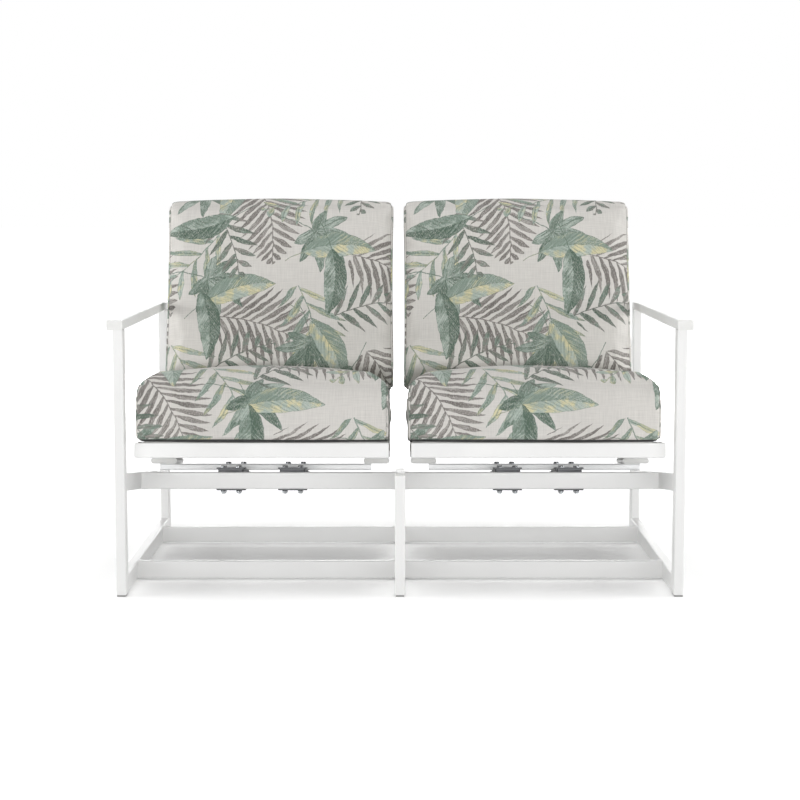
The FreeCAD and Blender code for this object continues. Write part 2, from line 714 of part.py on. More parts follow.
def build_back_frame(side, sign):
    """Two uprights cut level with the seat rails they stand on, and a rail across their tops."""
    uprights = []
    sunk = "dims.back_tube_depth"
    for end in SIDES.values():
        tube = extrusion("upright", "dims.seat_tube_width", "dims.back_tube_depth", "dims.tube_corner",
                         f"{UPRIGHT_TOP} + {sunk}", wall="dims.tube_wall")
        x = f"{sign} * {SEAT_MIDDLE} + {end} * {SIDE_RAIL_REACH}"
        tube.setExpression("Placement", f"{BACK} * {at(x, 'dims.back_tube_depth / 2', f'-{sunk}')}")
        corner = at(f"{x} - dims.seat_tube_width / 2", f"{BACK_SETBACK} - dims.back_height", SEAT_TOP)
        above = box("above_seat", "dims.seat_tube_width", "2 * dims.back_height", "2 * dims.back_height",
                    f"{SLOPE} * {corner}")
        uprights.append(common("upright", tube, above))
    group(f"{side}_back_uprights", uprights)
    label = f"{side}_back_top_rail"
    tube = extrusion(label, "dims.seat_tube_width", "dims.back_tube_depth", "dims.tube_corner",
                     "dims.seat_width", wall="dims.tube_wall")
    place = at(f"{sign} * {SEAT_MIDDLE} - dims.seat_width / 2", "dims.back_tube_depth / 2",
               f"{UPRIGHT_TOP} + dims.seat_tube_width / 2", ALONG_X)
    node(tube, label, f"{BACK} * {place}")


def build_seat_plugs(side, sign):
    """Inserts in the open ends of the seat's end rails, of the back's top rail and of the brackets."""
    ends = [
        (SLOPE, FRONT_RAIL_ALONG, SEAT_RAIL_MIDDLE, "dims.seat_tube_height", "dims.seat_tube_width"),
        (SLOPE, REAR_RAIL_ALONG, SEAT_RAIL_MIDDLE, "dims.seat_tube_height", "dims.seat_tube_width"),
        (BACK, "dims.back_tube_depth / 2", f"{UPRIGHT_TOP} + dims.seat_tube_width / 2",
         "dims.seat_tube_width", "dims.back_tube_depth"),
    ]
    plugs = []
    for frame, y, z, height, depth in ends:
        for end in SIDES.values():
            plug = extrusion("seat_plug", *bore_plug(height, depth), "dims.cap_plug_length")
            x = f"{sign} * {SEAT_MIDDLE} + {end} * (dims.seat_width / 2 - dims.seat_rail_end_corner)"
            place = at(x, y, z, f"rotationy({-90 * end})")
            plug.setExpression("Placement", f"{frame} * {place}")
            plugs.append(plug)
    shrink = "2 * (dims.bracket_wall + dims.plug_clearance)"
    rear_end = f"{BRACKET_START} + dims.bracket_length - dims.cap_plug_length"
    for x in bracket_places(sign):
        for y in (BRACKET_START, rear_end):
            plug = extrusion("bracket_plug", f"dims.bracket_width - {shrink}",
                             f"dims.bracket_thickness - {shrink}", "dims.bracket_corner - dims.bracket_wall",
                             "dims.cap_plug_length")
            plug.setExpression("Placement", f"{SLOPE} * {at(x, y, BRACKET_MIDDLE, ALONG_Y)}")
            plugs.append(plug)
    group(f"{side}_seat_plugs", plugs)


def strap_starts(first, last, spacing):
    """Even starts of straps in a stretch, as many as fit at about the given spacing."""
    room = f"(({last}) - ({first}) - dims.strap_width)"
    gaps = max(1, round(value(room) / value(spacing)))
    return [f"({first}) + {index} * {room} / {gaps}" for index in range(gaps + 1)]


def build_straps(side, sign):
    x = f"{sign} * {SEAT_MIDDLE} - dims.seat_width / 2"
    first = "dims.seat_front_setback + dims.seat_tube_width + dims.strap_margin"
    last = f"{BACK_SETBACK} - dims.strap_margin"
    straps = [
        box("strap", "dims.seat_width", "dims.strap_width", "dims.strap_thickness",
            f"{SLOPE} * {at(x, y, SEAT_TOP)}")
        for y in strap_starts(first, last, "dims.seat_strap_spacing")
    ]
    group(f"{side}_seat_straps", straps)
    straps = [
        box("strap", "dims.seat_width", "dims.strap_thickness", "dims.strap_width",
            f"{BACK} * {at(x, '-dims.strap_thickness', z)}")
        for z in strap_starts("dims.seat_cushion_thickness", "dims.back_height - dims.strap_margin",
                              "dims.back_strap_spacing")
    ]
    group(f"{side}_back_straps", straps)


# Cushions: crowned boxes with drawn-in sides

def cushion_section(x, first, last, foot, top, crown, bulge):
    """A closed outline across a cushion: a flat foot, bulging ends and a crowned top."""
    corners = [FreeCAD.Vector(x, y, z) for y, z in ((first, foot), (last, foot), (last, top), (first, top))]
    middle = (foot + top) / 2
    rear = FreeCAD.Vector(x, last + bulge, middle)
    front = FreeCAD.Vector(x, first - bulge, middle)
    peak = FreeCAD.Vector(x, (first + last) / 2, top + crown)
    return Part.Wire([
        Part.makeLine(corners[0], corners[1]),
        Part.Arc(corners[1], rear, corners[2]).toShape(),
        Part.Arc(corners[2], peak, corners[3]).toShape(),
        Part.Arc(corners[3], front, corners[0]).toShape(),
    ])


SECTION_STATIONS = (-1, -0.5, 0, 0.5, 1)
EDGE_CROWN = 0.2


def cushion(label, depth, thickness, crown, place):
    """Lofts across the width: fullest in the middle, drawn in along the sides, with eased ends."""
    half = value("dims.seat_width / 2 - dims.cushion_side_inset")
    deep, thick, rise = value(depth), value(thickness), value(crown)
    draw, bulge, ease = (value(f"dims.cushion_{name}") for name in ("draw", "bulge", "side_ease"))

    def section(x, swell, shrink):
        inset = bulge + draw * swell + shrink
        peak = rise * (EDGE_CROWN + (1 - EDGE_CROWN) * swell)
        return cushion_section(x, inset, deep - inset, shrink, thick - shrink, peak, bulge)

    body_half = half - ease
    body = [section(station * body_half, 1 - station ** 2, 0) for station in SECTION_STATIONS]
    shape = Part.makeLoft(body, True)
    for end in SIDES.values():
        eased = [section(end * body_half, 0, 0), section(end * half, 0, ease / 2)]
        shape = shape.fuse(Part.makeLoft(eased, True, True))
    solid = doc.addObject("Part::Feature", label)
    solid.Shape = shape.removeSplitter()
    return node(solid, label, place)


SEAT_CUSHION_FRONT = "(dims.seat_front_setback - dims.seat_cushion_overhang)"
SEAT_CUSHION_DEPTH = (
    f"({BACK_SETBACK} - dims.strap_thickness / cos(dims.back_recline) - dims.cushion_clearance"
    f" - {SEAT_CUSHION_FRONT})"
)
BACK_CUSHION_REACH = "(dims.back_cushion_thickness / 2)"
SEAT_CROWN_THERE = (
    f"dims.seat_cushion_crown * (1 - (1 - 2 * {BACK_CUSHION_REACH} / {SEAT_CUSHION_DEPTH}) ^ 2)"
)
BACK_CUSHION_FOOT = (
    f"((dims.strap_thickness + 2 * dims.cushion_clearance + dims.seat_cushion_thickness"
    f" + {SEAT_CROWN_THERE}) / cos(dims.back_recline) - {BACK_CUSHION_REACH} * tan(dims.back_recline))"
)


def build_cushions(side, sign):
    x = f"{sign} * {SEAT_MIDDLE} + dims.{side}_cushion_shift"
    cushion(f"{side}_seat_cushion", SEAT_CUSHION_DEPTH, "dims.seat_cushion_thickness",
            "dims.seat_cushion_crown", f"{SLOPE} * {at(x, SEAT_CUSHION_FRONT, SEAT_CUSHION_FOOT)}")
    x = f"{x} - {sign} * dims.back_cushion_shift"
    behind = "-dims.strap_thickness - dims.cushion_clearance"
    cushion(f"{side}_back_cushion", "dims.back_cushion_height", "dims.back_cushion_thickness",
            "dims.back_cushion_crown",
            f"{BACK} * {at(x, behind, BACK_CUSHION_FOOT, 'rotationx(90)')}")


build_legs()
build_arms()
build_floor_rails()
build_mid_rails()
build_cross_rails()
build_end_plugs()
build_rail_bolts()
build_caps()
build_glides()
build_leaf_springs()
build_clamps()
for side_name, side_sign in SIDES.items():
    build_spring_bar(side_name, side_sign)
    build_brackets(side_name, side_sign)
    build_seat_rails(side_name, side_sign)
    build_back_frame(side_name, side_sign)
    build_seat_plugs(side_name, side_sign)
    build_straps(side_name, side_sign)
    build_cushions(side_name, side_sign)

doc.recompute()
failed = [item.Label for item in doc.Objects if {"Invalid", "Error"} & set(item.State)]
pockets = [item for item in doc.Objects if item.TypeId == "PartDesign::Pocket"]
failed += [item.Label for item in pockets if item.Shape.Volume >= item.BaseFeature.Shape.Volume]
failed += [part.Label for part in parts if part.Shape.isNull() or not part.Shape.isValid()]
if failed:
    raise RuntimeError(f"failed objects: {failed}")

os.makedirs("parts", exist_ok=True)
for part in parts:
    part.Shape.exportStep(f"parts/{part.Label}.step")
print(len(parts), "sub-parts written")
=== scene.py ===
"""Looks of a porch loveseat with two seats that rock on leaf springs. All sizes are in metres."""

import json
import math

import bpy
import numpy as np
from bpy.props import FloatProperty, FloatVectorProperty, IntProperty, PointerProperty, StringProperty
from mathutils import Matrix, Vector


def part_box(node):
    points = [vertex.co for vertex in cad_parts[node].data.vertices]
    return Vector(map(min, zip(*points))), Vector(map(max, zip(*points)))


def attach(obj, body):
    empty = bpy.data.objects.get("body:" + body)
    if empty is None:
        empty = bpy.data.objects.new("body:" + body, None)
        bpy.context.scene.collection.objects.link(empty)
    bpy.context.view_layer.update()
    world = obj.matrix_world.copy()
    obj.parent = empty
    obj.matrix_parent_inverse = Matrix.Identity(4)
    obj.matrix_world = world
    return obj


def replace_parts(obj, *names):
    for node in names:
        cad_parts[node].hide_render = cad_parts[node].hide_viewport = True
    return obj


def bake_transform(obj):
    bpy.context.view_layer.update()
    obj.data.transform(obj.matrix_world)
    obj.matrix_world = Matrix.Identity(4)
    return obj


bl_info = {
    "name": "Rocking porch loveseat",
    "version": (1, 0, 0),
    "blender": (4, 5, 0),
    "location": "3D View > Sidebar > Loveseat",
    "description": "Cushions, springs, webbing and finishes around the loveseat's frame",
    "category": "Object",
}

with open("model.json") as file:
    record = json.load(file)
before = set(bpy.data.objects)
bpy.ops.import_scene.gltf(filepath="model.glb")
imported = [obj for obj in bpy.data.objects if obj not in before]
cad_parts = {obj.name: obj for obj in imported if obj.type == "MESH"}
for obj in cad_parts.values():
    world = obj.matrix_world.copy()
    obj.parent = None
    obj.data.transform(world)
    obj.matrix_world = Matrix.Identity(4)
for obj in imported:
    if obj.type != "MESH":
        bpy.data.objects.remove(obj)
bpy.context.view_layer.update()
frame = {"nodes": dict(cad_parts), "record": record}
NODES = frame["nodes"]
SIDES = ("left", "right")
FULL_TURN = 2 * math.pi


# Settings

def colour(label, note, default):
    """A colour setting, written as an sRGB hex value."""
    return StringProperty(name=label, description=note, default=default)


def length(label, note, default):
    """A size setting in metres."""
    return FloatProperty(name=label, description=note, default=default, min=0, unit="LENGTH", precision=4)


def angle(label, note, degrees):
    """An angle setting, given in degrees."""
    return FloatProperty(name=label, description=note, default=math.radians(degrees), subtype="ANGLE")


def watts(label, note, default):
    """A lamp's power in watts."""
    return FloatProperty(name=label, description=note, default=default, min=0, subtype="POWER")


class LoveseatFrame(bpy.types.PropertyGroup):
    """Finishes of the metal and plastic pieces."""
    coat: colour("Powder coat", "Coat on the tubes", "#F2F2F1")
    coat_shade: colour("Powder coat shade", "Thinner patches of the coat", "#EBEBEA")
    coat_patch: length("Coat patch", "Size of the coat's thinner patches", 0.11111)
    peel: length("Orange peel", "Ripple spacing of the coat, drawn three times as coarse to show", 0.006)
    bar: colour("Spring bar", "Bare aluminium of the bars on the springs", "#F8F9F9")
    bar_shade: colour("Spring bar shade", "Die lines of the bars", "#E6E7E8")
    die_length: length("Die line length", "Along a bar", 0.33333)
    die_width: length("Die line width", "Across a bar, drawn coarser than real to show", 0.0014286)
    spring: colour("Spring steel", "Leaf springs and their clamp plates", "#3F4042")
    spring_shade: colour("Spring steel shade", "Rubbed places of the springs", "#5E5F61")
    blotch: length("Blotch", "Size of the scale's blotches on spring steel", 0.018182)
    zinc: colour("Zinc plate", "Bolts and nuts", "#A9ABAD")
    zinc_shade: colour("Zinc plate shade", "Darker crystals of the zinc", "#7C7F82")
    spangle: length("Spangle", "Size of the zinc's crystals", 0.0026316)
    plastic: colour("Plastic", "Caps and plugs in the tube ends", "#EFEFED")
    plastic_shade: colour("Plastic shade", "Grain of the caps and plugs", "#E4E4E1")
    glide: colour("Glide", "Plastic glides under the legs", "#A3A3A2")
    glide_shade: colour("Glide shade", "Grain of the glides", "#959594")
    grain: length("Grain", "Spacing of the plastic's grain, drawn coarser than real to show", 0.0016667)


class LoveseatSprings(bpy.types.PropertyGroup):
    """Leaf springs and the bolts of the frame and of the springs."""
    pitch: angle("Seat pitch", "Slope of the seat, down to the back", 7.7)
    leaf: length("Leaf width", "Across one leaf", 0.065)
    edge: length("Leaf edge", "Rounding along a leaf's edges", 0.0012)
    corner: length("Leaf corner", "Rounding of a leaf's ends", 0.004)
    steps: IntProperty(name="Leaf steps", description="Divisions along a leaf that bends", default=72)
    bolt_spacing: length("Bolt spacing", "Across a spring", 0.040)
    clamp_bolt_depth: length("Clamp bolt depth", "Spacing of a clamp's bolts along the spring", 0.026)
    bar_bolt_depth: length("Bar bolt depth", "Spacing of a bar's bolts along the spring", 0.020)
    rail_bolt_spacing: length("Rail bolt spacing", "Of the two bolts in a cross rail's end", 0.022)
    flats: length("Hexagon", "Across the flats of heads and nuts", 0.013)
    head: length("Head height", "Height of a bolt's head", 0.0053)
    nut: length("Nut height", "Height of a nut", 0.0065)
    bolt_end: length("Bolt end", "How far a bolt stands out of its nut", 0.0025)
    shank: length("Shank", "Diameter of a bolt", 0.008)
    button: length("Button head", "Diameter of a frame bolt's head", 0.015)
    button_height: length("Button height", "Height of a frame bolt's head", 0.0045)
    socket: length("Socket", "Across the flats of a frame bolt's socket", 0.005)


class LoveseatWebbing(bpy.types.PropertyGroup):
    """Straps under and behind the cushions."""
    vinyl: colour("Webbing", "Woven vinyl of the straps", "#EDECE8")
    # Painted shade: the furrow colour darkens a strap between its ribs, where shade falls
    furrow_shade: colour("Webbing furrow", "Between the ribs of a strap", "#D6D5D1")
    rib: length("Rib", "Spacing of the ribs along a strap", 0.0042)
    thread: length("Thread", "Spacing of the threads across a strap", 0.003)
    sag: length("Sag", "Of a strap at its middle", 0.003)
    tuck: length("Tuck", "How far a strap turns down round its rail", 0.022)
    bend: length("Bend", "Radius of a strap's turn round its rail", 0.005)
    steps: IntProperty(name="Strap steps", description="Divisions along a strap", default=48)


class LoveseatCushions(bpy.types.PropertyGroup):
    """Boxed cushions: one panel wraps over the front or the top, and a side panel closes each end."""
    recline: angle("Back lean", "Lean of the back from upright", 16.7)
    voxel: length("Mesh size", "Of the mesh that is blown up", 0.0075)
    side_round: length("Side rounding", "Where the wrapped panel meets a side panel", 0.013)
    seat_corners: FloatVectorProperty(
        name="Seat corners", description="Profile radii: front foot, rear foot, rear top, front top",
        default=(0.028, 0.024, 0.036, 0.060), size=4, unit="LENGTH")
    back_corners: FloatVectorProperty(
        name="Back corners", description="Profile radii: rear foot, rear top, front top, front foot",
        default=(0.026, 0.028, 0.044, 0.036), size=4, unit="LENGTH")
    seat_crown: length("Seat crown", "Rise of the seat's middle before it is blown up", 0.036)
    back_crown: length("Back crown", "Rise of the back's middle before it is blown up", 0.016)
    draw: length("Draw", "How far a side pulls in between its corners", 0.003)
    arch: length("Arch", "Rise of the back's top edge in its middle", 0.012)
    ear: length("Ear", "Fall of the back's top edge at its corners", 0.009)
    ear_reach: length("Ear reach", "How far from a corner that fall starts", 0.024)
    pressure: FloatProperty(name="Pressure", description="Of the filling on the cover", default=4)
    frames: IntProperty(name="Frames", description="Steps of blowing up", default=20)
    swell: length("Swell", "The most that the top may move while the cover is blown up", 0.024)
    side_swell: length("Side swell", "The most that a side may move while the cover is blown up", 0.004)
    pull: length("Pull", "The most that a tight cover may press in its filling", 0.0015)
    side_proud: length("Side proud", "How far the cover stands out beside its solid", 0.006)
    top_proud: length("Top proud", "How far the back's cover stands out above its solid", 0.008)
    settle: length("Settle", "The most that a back cushion's foot may sink onto its seat", 0.055)
    settle_height: length("Settle height", "How far up a back cushion its sinking fades out", 0.17)
    press: length("Press", "How far a back cushion's foot presses into its seat", 0.005)
    seam_depth: length("Seam depth", "How far a seam draws the cover in", 0.0026)
    seam_width: length("Seam width", "Of the drawn-in line", 0.0042)
    seam_shadow: length("Seam line", "Of the shadow between the panels", 0.0012)
    pucker: length("Pucker", "Height of the small gathers beside a seam", 0.0007)
    pucker_pitch: length("Pucker spacing", "Along a seam", 0.021)
    ease: length("Ease", "Height of the slack in the cover", 0.0012)
    ease_reach: length("Ease reach", "How far from a seam the slack is full", 0.06)
    pucker_reach: length("Pucker reach", "How far from a seam the gathers fade out", 0.012)
    weave: length("Weave", "Thread spacing of the linen, drawn twice as coarse to show", 0.0024)
    slub: length("Slub", "Length of the thick places in a thread", 0.055556)
    streak_width: length("Streak width", "Of the dry brush", 0.002381)
    streak_length: length("Streak length", "Of the dry brush", 0.0066667)
    patch: length("Patch", "Size of a leaf's coloured patches", 0.041667)
    ground: colour("Ground", "Undyed linen between the leaves", "#D8D5D0")
    taupe: colour("Taupe", "Feathered leaves", "#97928D")
    ash: colour("Ash", "Light tone of the feathered leaves", "#ADA9A4")
    umber: colour("Umber", "Ribs and shaded leaflets", "#716C68")
    green: colour("Green", "Dark leaves", "#54685A")
    sage: colour("Sage", "Middle tone of the green leaves", "#85968A")
    mint: colour("Mint", "Light tone of the green leaves", "#B6C2B9")
    straw: colour("Straw", "Yellow patches of the broad leaves", "#DCD5AC")
    # Painted shadow: a near-black band round the foot of the seat cushions stands in for the shade where
    # they sit on their rails, and it covers their undersides too
    foot_shadow: colour("Vent cloth", "Dark cloth under the seat cushions", "#161616")
    foot_shadow_edge: length("Vent edge", "How far the dark cloth comes up round the foot", 0.0043)


class LoveseatStage(bpy.types.PropertyGroup):
    """Floor, lights and camera."""
    distance: length("Camera distance", "In front of the front legs", 4.527)
    height: length("Camera height", "Above the floor", 0.962)
    tilt: angle("Camera tilt", "Below level", 6.04)
    lens: FloatProperty(name="Lens", description="Focal length in millimetres", default=85.0)
    sky: FloatProperty(name="Sky", description="Strength of the even light all round", default=0.22)
    front: watts("Front lamp", "Power of the wide lamp in front", 132)
    rear: watts("Rear lamp", "Power of the wide lamp behind", 98)
    side: watts("Side lamps", "Power of the lamp at each side", 82)
    top: watts("Top lamp", "Power of the wide lamp above", 76)
    aim: length("Aim", "Height that the lamps point at", 0.4)
    floor: colour("Floor", "Paper floor", "#FDFDFD")
    floor_near: FloatProperty(name="Floor near", description="Picture brightness by the bench", default=1.54)
    floor_far: FloatProperty(name="Floor far", description="Picture brightness far off", default=5.0)
    near: length("Near", "Distance from the middle where the floor starts to brighten", 1.0)
    far: length("Far", "Distance from the middle where the floor is brightest", 8.0)
    reach: length("Reach", "Half the width of the floor", 60.0)


# Small tools

def linear(text):
    """An sRGB hex value as linear RGBA."""
    share = np.array([int(text[start:start + 2], 16) for start in (1, 3, 5)]) / 255
    return (*np.where(share <= 0.04045, share / 12.92, ((share + 0.055) / 1.055) ** 2.4), 1)


def turned(points, turn):
    """Points turned about the X axis by the right-hand rule."""
    cosine, sine = math.cos(turn), math.sin(turn)
    return np.asarray(points) @ np.array([[1, 0, 0], [0, cosine, sine], [0, -sine, cosine]])


def read_rows(items, label, width=1, kind=np.float32):
    """One property of all items of a mesh's list as an array, with a row for each item if it has a width."""
    flat = np.empty(len(items) * width, kind)
    items.foreach_get(label, flat)
    if kind is np.float32:
        flat = flat.astype(float)
    return flat if width == 1 else flat.reshape(-1, width)


def write_points(mesh, points):
    """Moves a mesh's vertices to an array of points."""
    mesh.vertices.foreach_set("co", points.astype(np.float32).ravel())
    mesh.update()


def write_attribute(mesh, label, values):
    """Keeps one number for each vertex under a label."""
    mesh.attributes.new(label, "FLOAT", "POINT").data.foreach_set("value", values.astype(np.float32))


def node_points(node):
    """A CAD node's vertices as an array."""
    return read_rows(NODES[node].data.vertices, "co", 3)


def sloped_box(node, slope):
    """Lowest and highest corner of a CAD node, seen in a frame that slopes down to the back."""
    points = turned(node_points(node), slope)
    return points.min(0), points.max(0)


def put_mesh(name, points, faces, material):
    """A smooth-shaded object from an array of points and lists of faces."""
    mesh = bpy.data.meshes.new(name)
    mesh.from_pydata(np.asarray(points).tolist(), [], faces)
    mesh.polygons.foreach_set("use_smooth", np.ones(len(mesh.polygons), bool))
    mesh.update()
    mesh.materials.append(material)
    piece = bpy.data.objects.new(name, mesh)
    bpy.context.scene.collection.objects.link(piece)
    return piece


def tube_faces(rings, around):
    """Faces of rings carried along a path: quads between rings, and one face that closes each end."""
    ring, step = np.meshgrid(np.arange(rings - 1), np.arange(around), indexing="ij")
    after = (step + 1) % around
    quads = np.stack([ring * around + step, ring * around + after,
                      (ring + 1) * around + after, (ring + 1) * around + step], -1)
    ends = [list(range(around))[::-1], list(range((rings - 1) * around, rings * around))]
    return quads.reshape(-1, 4).tolist() + ends


def repeated(shape, places):
    """Points and faces of one ringed shape, moved to every place."""
    rings, around = shape.shape[:2]
    flat = shape.reshape(-1, 3)
    points = (np.asarray(places)[:, None, :] + flat[None]).reshape(-1, 3)
    faces = tube_faces(rings, around)
    starts = range(0, len(points), len(flat))
    return points, [[corner + start for corner in face] for start in starts for face in faces]


def add(tree, kind, inputs=(), **settings):
    """Adds a node. Inputs are values, sockets or nodes, in order or by name; settings are its properties."""
    node = tree.nodes.new("ShaderNode" + kind)
    for name, setting in settings.items():
        setattr(node, name, setting)
    for key, source in inputs.items() if isinstance(inputs, dict) else enumerate(inputs):
        if isinstance(source, bpy.types.Node):
            source = source.outputs[0]
        if isinstance(source, bpy.types.NodeSocket):
            tree.links.new(source, node.inputs[key])
        else:
            node.inputs[key].default_value = source
    return node


def start_material(name, constants):
    """A material and its Principled shader; constants are set on the shader's own sockets."""
    material = bpy.data.materials.new(name)
    material.use_nodes = True
    shader = material.node_tree.nodes["Principled BSDF"]
    for socket, constant in constants.items():
        shader.inputs[socket].default_value = constant
    return material, material.node_tree, shader


def dress(tree, shader, tint, gloss, bump):
    """Links a colour, a roughness and a bump to a shader."""
    sources = {"Base Color": tint, "Roughness": gloss.outputs[0], "Normal": bump.outputs[0]}
    for socket, source in sources.items():
        tree.links.new(source, shader.inputs[socket])


def lay_pattern(tree, shader, pattern, shades, gloss, height, strength, distance):
    """A pattern from 0 to 1 moves a finish between two shades and between two roughnesses; the height, which
    may be another pattern, gives its relief."""
    tint = add(tree, "Mix", {0: pattern, 6: linear(shades[0]), 7: linear(shades[1])}, data_type="RGBA")
    rough = add(tree, "MapRange", {"Value": pattern, "To Min": gloss[0], "To Max": gloss[1]})
    bump = add(tree, "Bump", {"Strength": strength, "Distance": distance, "Height": height})
    dress(tree, shader, tint.outputs[2], rough, bump)


# Finishes of metal and plastic

def powder_coat(settings):
    """Polyester powder coat, baked on aluminium: an even white with a soft gloss and a faint orange peel."""
    material, tree, shader = start_material("powder_coated_aluminium", {"IOR": 1.5})
    place = add(tree, "TexCoord").outputs["Object"]
    cloud = add(tree, "TexNoise", {"Vector": place, "Scale": 1 / settings.coat_patch, "Detail": 3})
    peel = add(tree, "TexNoise", {"Vector": place, "Scale": 1 / settings.peel, "Detail": 2})
    lay_pattern(tree, shader, cloud, (settings.coat, settings.coat_shade), gloss=(0.34, 0.46),
                height=peel, strength=0.12, distance=0.0004)
    return material


def extruded_aluminium(settings):
    """Extruded aluminium, left bare: fine die lines run along the bar and smear its reflections."""
    material, tree, shader = start_material("extruded_aluminium", {"Metallic": 0.15})
    place = add(tree, "TexCoord").outputs["Object"]
    across = 1 / settings.die_width
    lines = add(tree, "Mapping", {"Vector": place, "Scale": (1 / settings.die_length, across, across)})
    die = add(tree, "TexNoise", {"Vector": lines, "Scale": 1, "Detail": 2})
    lay_pattern(tree, shader, die, (settings.bar, settings.bar_shade), gloss=(0.36, 0.5),
                height=die, strength=0.1, distance=0.0003)
    return material


def spring_steel(settings):
    """Oil-hardened spring steel: blue-black scale in blotches, rubbed lighter here and there."""
    material, tree, shader = start_material("oil_hardened_spring_steel", {"Metallic": 0.8})
    place = add(tree, "TexCoord").outputs["Object"]
    look = {"Vector": place, "Scale": 1 / settings.blotch, "Detail": 5, "Roughness": 0.65}
    blotch = add(tree, "TexNoise", look)
    lay_pattern(tree, shader, blotch, (settings.spring, settings.spring_shade), gloss=(0.34, 0.6),
                height=blotch, strength=0.15, distance=0.0002)
    return material


def zinc_plate(settings):
    """Bright zinc plate on steel: a cool sheen with a fine cloudy spangle."""
    material, tree, shader = start_material("bright_zinc_plate", {"Metallic": 1})
    place = add(tree, "TexCoord").outputs["Object"]
    cell = add(tree, "TexVoronoi", {"Vector": place, "Scale": 1 / settings.spangle}).outputs["Color"]
    lay_pattern(tree, shader, cell, (settings.zinc, settings.zinc_shade), gloss=(0.16, 0.3),
                height=cell, strength=0.08, distance=0.0002)
    return material


def moulded_nylon(name, shades, gloss, settings):
    """Moulded nylon with a fine spark-eroded grain that dulls its gloss."""
    material, tree, shader = start_material(name, {"IOR": 1.53})
    place = add(tree, "TexCoord").outputs["Object"]
    grain = add(tree, "TexNoise", {"Vector": place, "Scale": 1 / settings.grain, "Detail": 2})
    lay_pattern(tree, shader, grain, shades, gloss, height=grain, strength=0.2, distance=0.0002)
    return material


def woven_vinyl(settings):
    """Woven vinyl strap: ribs along the strap, crossed by finer threads, with a dull plastic sheen. The
    weave is the sine of the rib's phase plus 0.4 times the sine of the thread's. Where the weave is low,
    the colour darkens towards the furrow shade as painted shade between the ribs."""
    material, tree, shader = start_material("woven_vinyl", {"IOR": 1.5})
    axes = add(tree, "SeparateXYZ", [add(tree, "UVMap", uv_map="strap")])
    thread = add(tree, "Math", [axes.outputs[0], FULL_TURN / settings.thread], operation="MULTIPLY")
    thread = add(tree, "Math", [thread], operation="SINE")
    rib = add(tree, "Math", [axes.outputs[1], FULL_TURN / settings.rib], operation="MULTIPLY")
    rib = add(tree, "Math", [rib], operation="SINE")
    weave = add(tree, "Math", [thread, 0.4, rib], operation="MULTIPLY_ADD")
    # Painted shade: the low places of the weave take the darker furrow colour
    tone = add(tree, "MapRange", {"Value": weave, "From Min": -1.4, "From Max": 1.4})
    lay_pattern(tree, shader, tone, (settings.furrow_shade, settings.vinyl), gloss=(0.62, 0.5),
                height=weave, strength=0.5, distance=0.0005)
    return material


class LOVESEAT_OT_finish_frame(bpy.types.Operator):
    """Coats the tubes and finishes the plates, plugs and glides"""
    bl_idname = "loveseat.finish_frame"
    bl_label = "Finish the frame"

    def execute(self, context):
        settings = context.scene.loveseat_frame
        finishes = {
            "white_frame": powder_coat(settings),
            "grey_bar": extruded_aluminium(settings),
            "spring_steel": spring_steel(settings),
            "zinc_steel": zinc_plate(settings),
            "white_plastic": moulded_nylon("white_nylon", (settings.plastic, settings.plastic_shade),
                                           (0.44, 0.56), settings),
            "grey_plastic": moulded_nylon("grey_nylon", (settings.glide, settings.glide_shade),
                                          (0.54, 0.66), settings),
        }
        for row in frame["record"]["subparts"]:
            if row["material_slot"] in finishes:
                data = NODES[row["node"]].data
                data.materials.clear()
                data.materials.append(finishes[row["material_slot"]])
        return {"FINISHED"}


# Leaf springs and bolts

def leaf_rings(low, high, edge, corner, steps):
    """A flat bar: an eased rectangle carried along Y, whose ends narrow by a quarter circle."""
    half = (high - low) / 2
    arc = np.linspace(0, math.pi / 2, 5)
    quarter = np.stack([np.cos(arc), np.sin(arc)], -1) * edge
    inner = np.array([half[0] - edge, half[2] - edge])
    corners = [(inner + quarter) * sign for sign in ((1, 1), (-1, 1), (-1, -1), (1, -1))]
    outline = np.concatenate([corners[0], corners[1][::-1], corners[2], corners[3][::-1]])
    ends = corner * (1 - np.cos(arc))
    along = np.concatenate([low[1] + ends, np.linspace(low[1] + corner, high[1] - corner, steps)[1:-1],
                            (high[1] - ends)[::-1]])
    missing = np.maximum(0, corner - np.minimum(along - low[1], high[1] - along))
    narrowing = corner - np.sqrt(np.maximum(0, corner ** 2 - missing ** 2))
    rings = np.empty((len(along), len(outline), 3))
    rings[..., 0] = outline[:, 0] * (1 - narrowing / half[0])[:, None]
    rings[..., 1] = along[:, None]
    rings[..., 2] = (low[2] + high[2]) / 2 + outline[:, 1]
    return rings[::-1]


def spring_middles(side, settings):
    """Where the two springs of a seat stand across the bench."""
    low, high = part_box(f"{side}_leaf_springs")
    return low[0] + settings.leaf / 2, high[0] - settings.leaf / 2


class LOVESEAT_OT_leaf_springs(bpy.types.Operator):
    """Makes the leaf springs as straight leaves between the fixed frame and a seat"""
    bl_idname = "loveseat.leaf_springs"
    bl_label = "Make the leaf springs"

    def execute(self, context):
        settings = context.scene.loveseat_springs
        material = bpy.data.materials["oil_hardened_spring_steel"]
        for side in SIDES:
            node = f"{side}_leaf_springs"
            low, high = sloped_box(node, settings.pitch)
            low[0], high[0] = -settings.leaf / 2, settings.leaf / 2
            rings = leaf_rings(low, high, settings.edge, settings.corner, settings.steps)
            middles = spring_middles(side, settings)
            points, faces = repeated(rings, [(middle, 0, 0) for middle in middles])
            piece = put_mesh(f"{side}_bending_leaves", turned(points, -settings.pitch), faces, material)
            clamp_end = sloped_box(f"{side}_spring_rail", settings.pitch)[1][1]
            bar_start = sloped_box(f"{side}_spring_bar", settings.pitch)[0][1]
            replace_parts(piece, node)
            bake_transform(piece)
        return {"FINISHED"}


# Points round a bolt, and the least angle of an edge that stays sharp
ROUND_STEPS = 48
CREASE = math.radians(28)


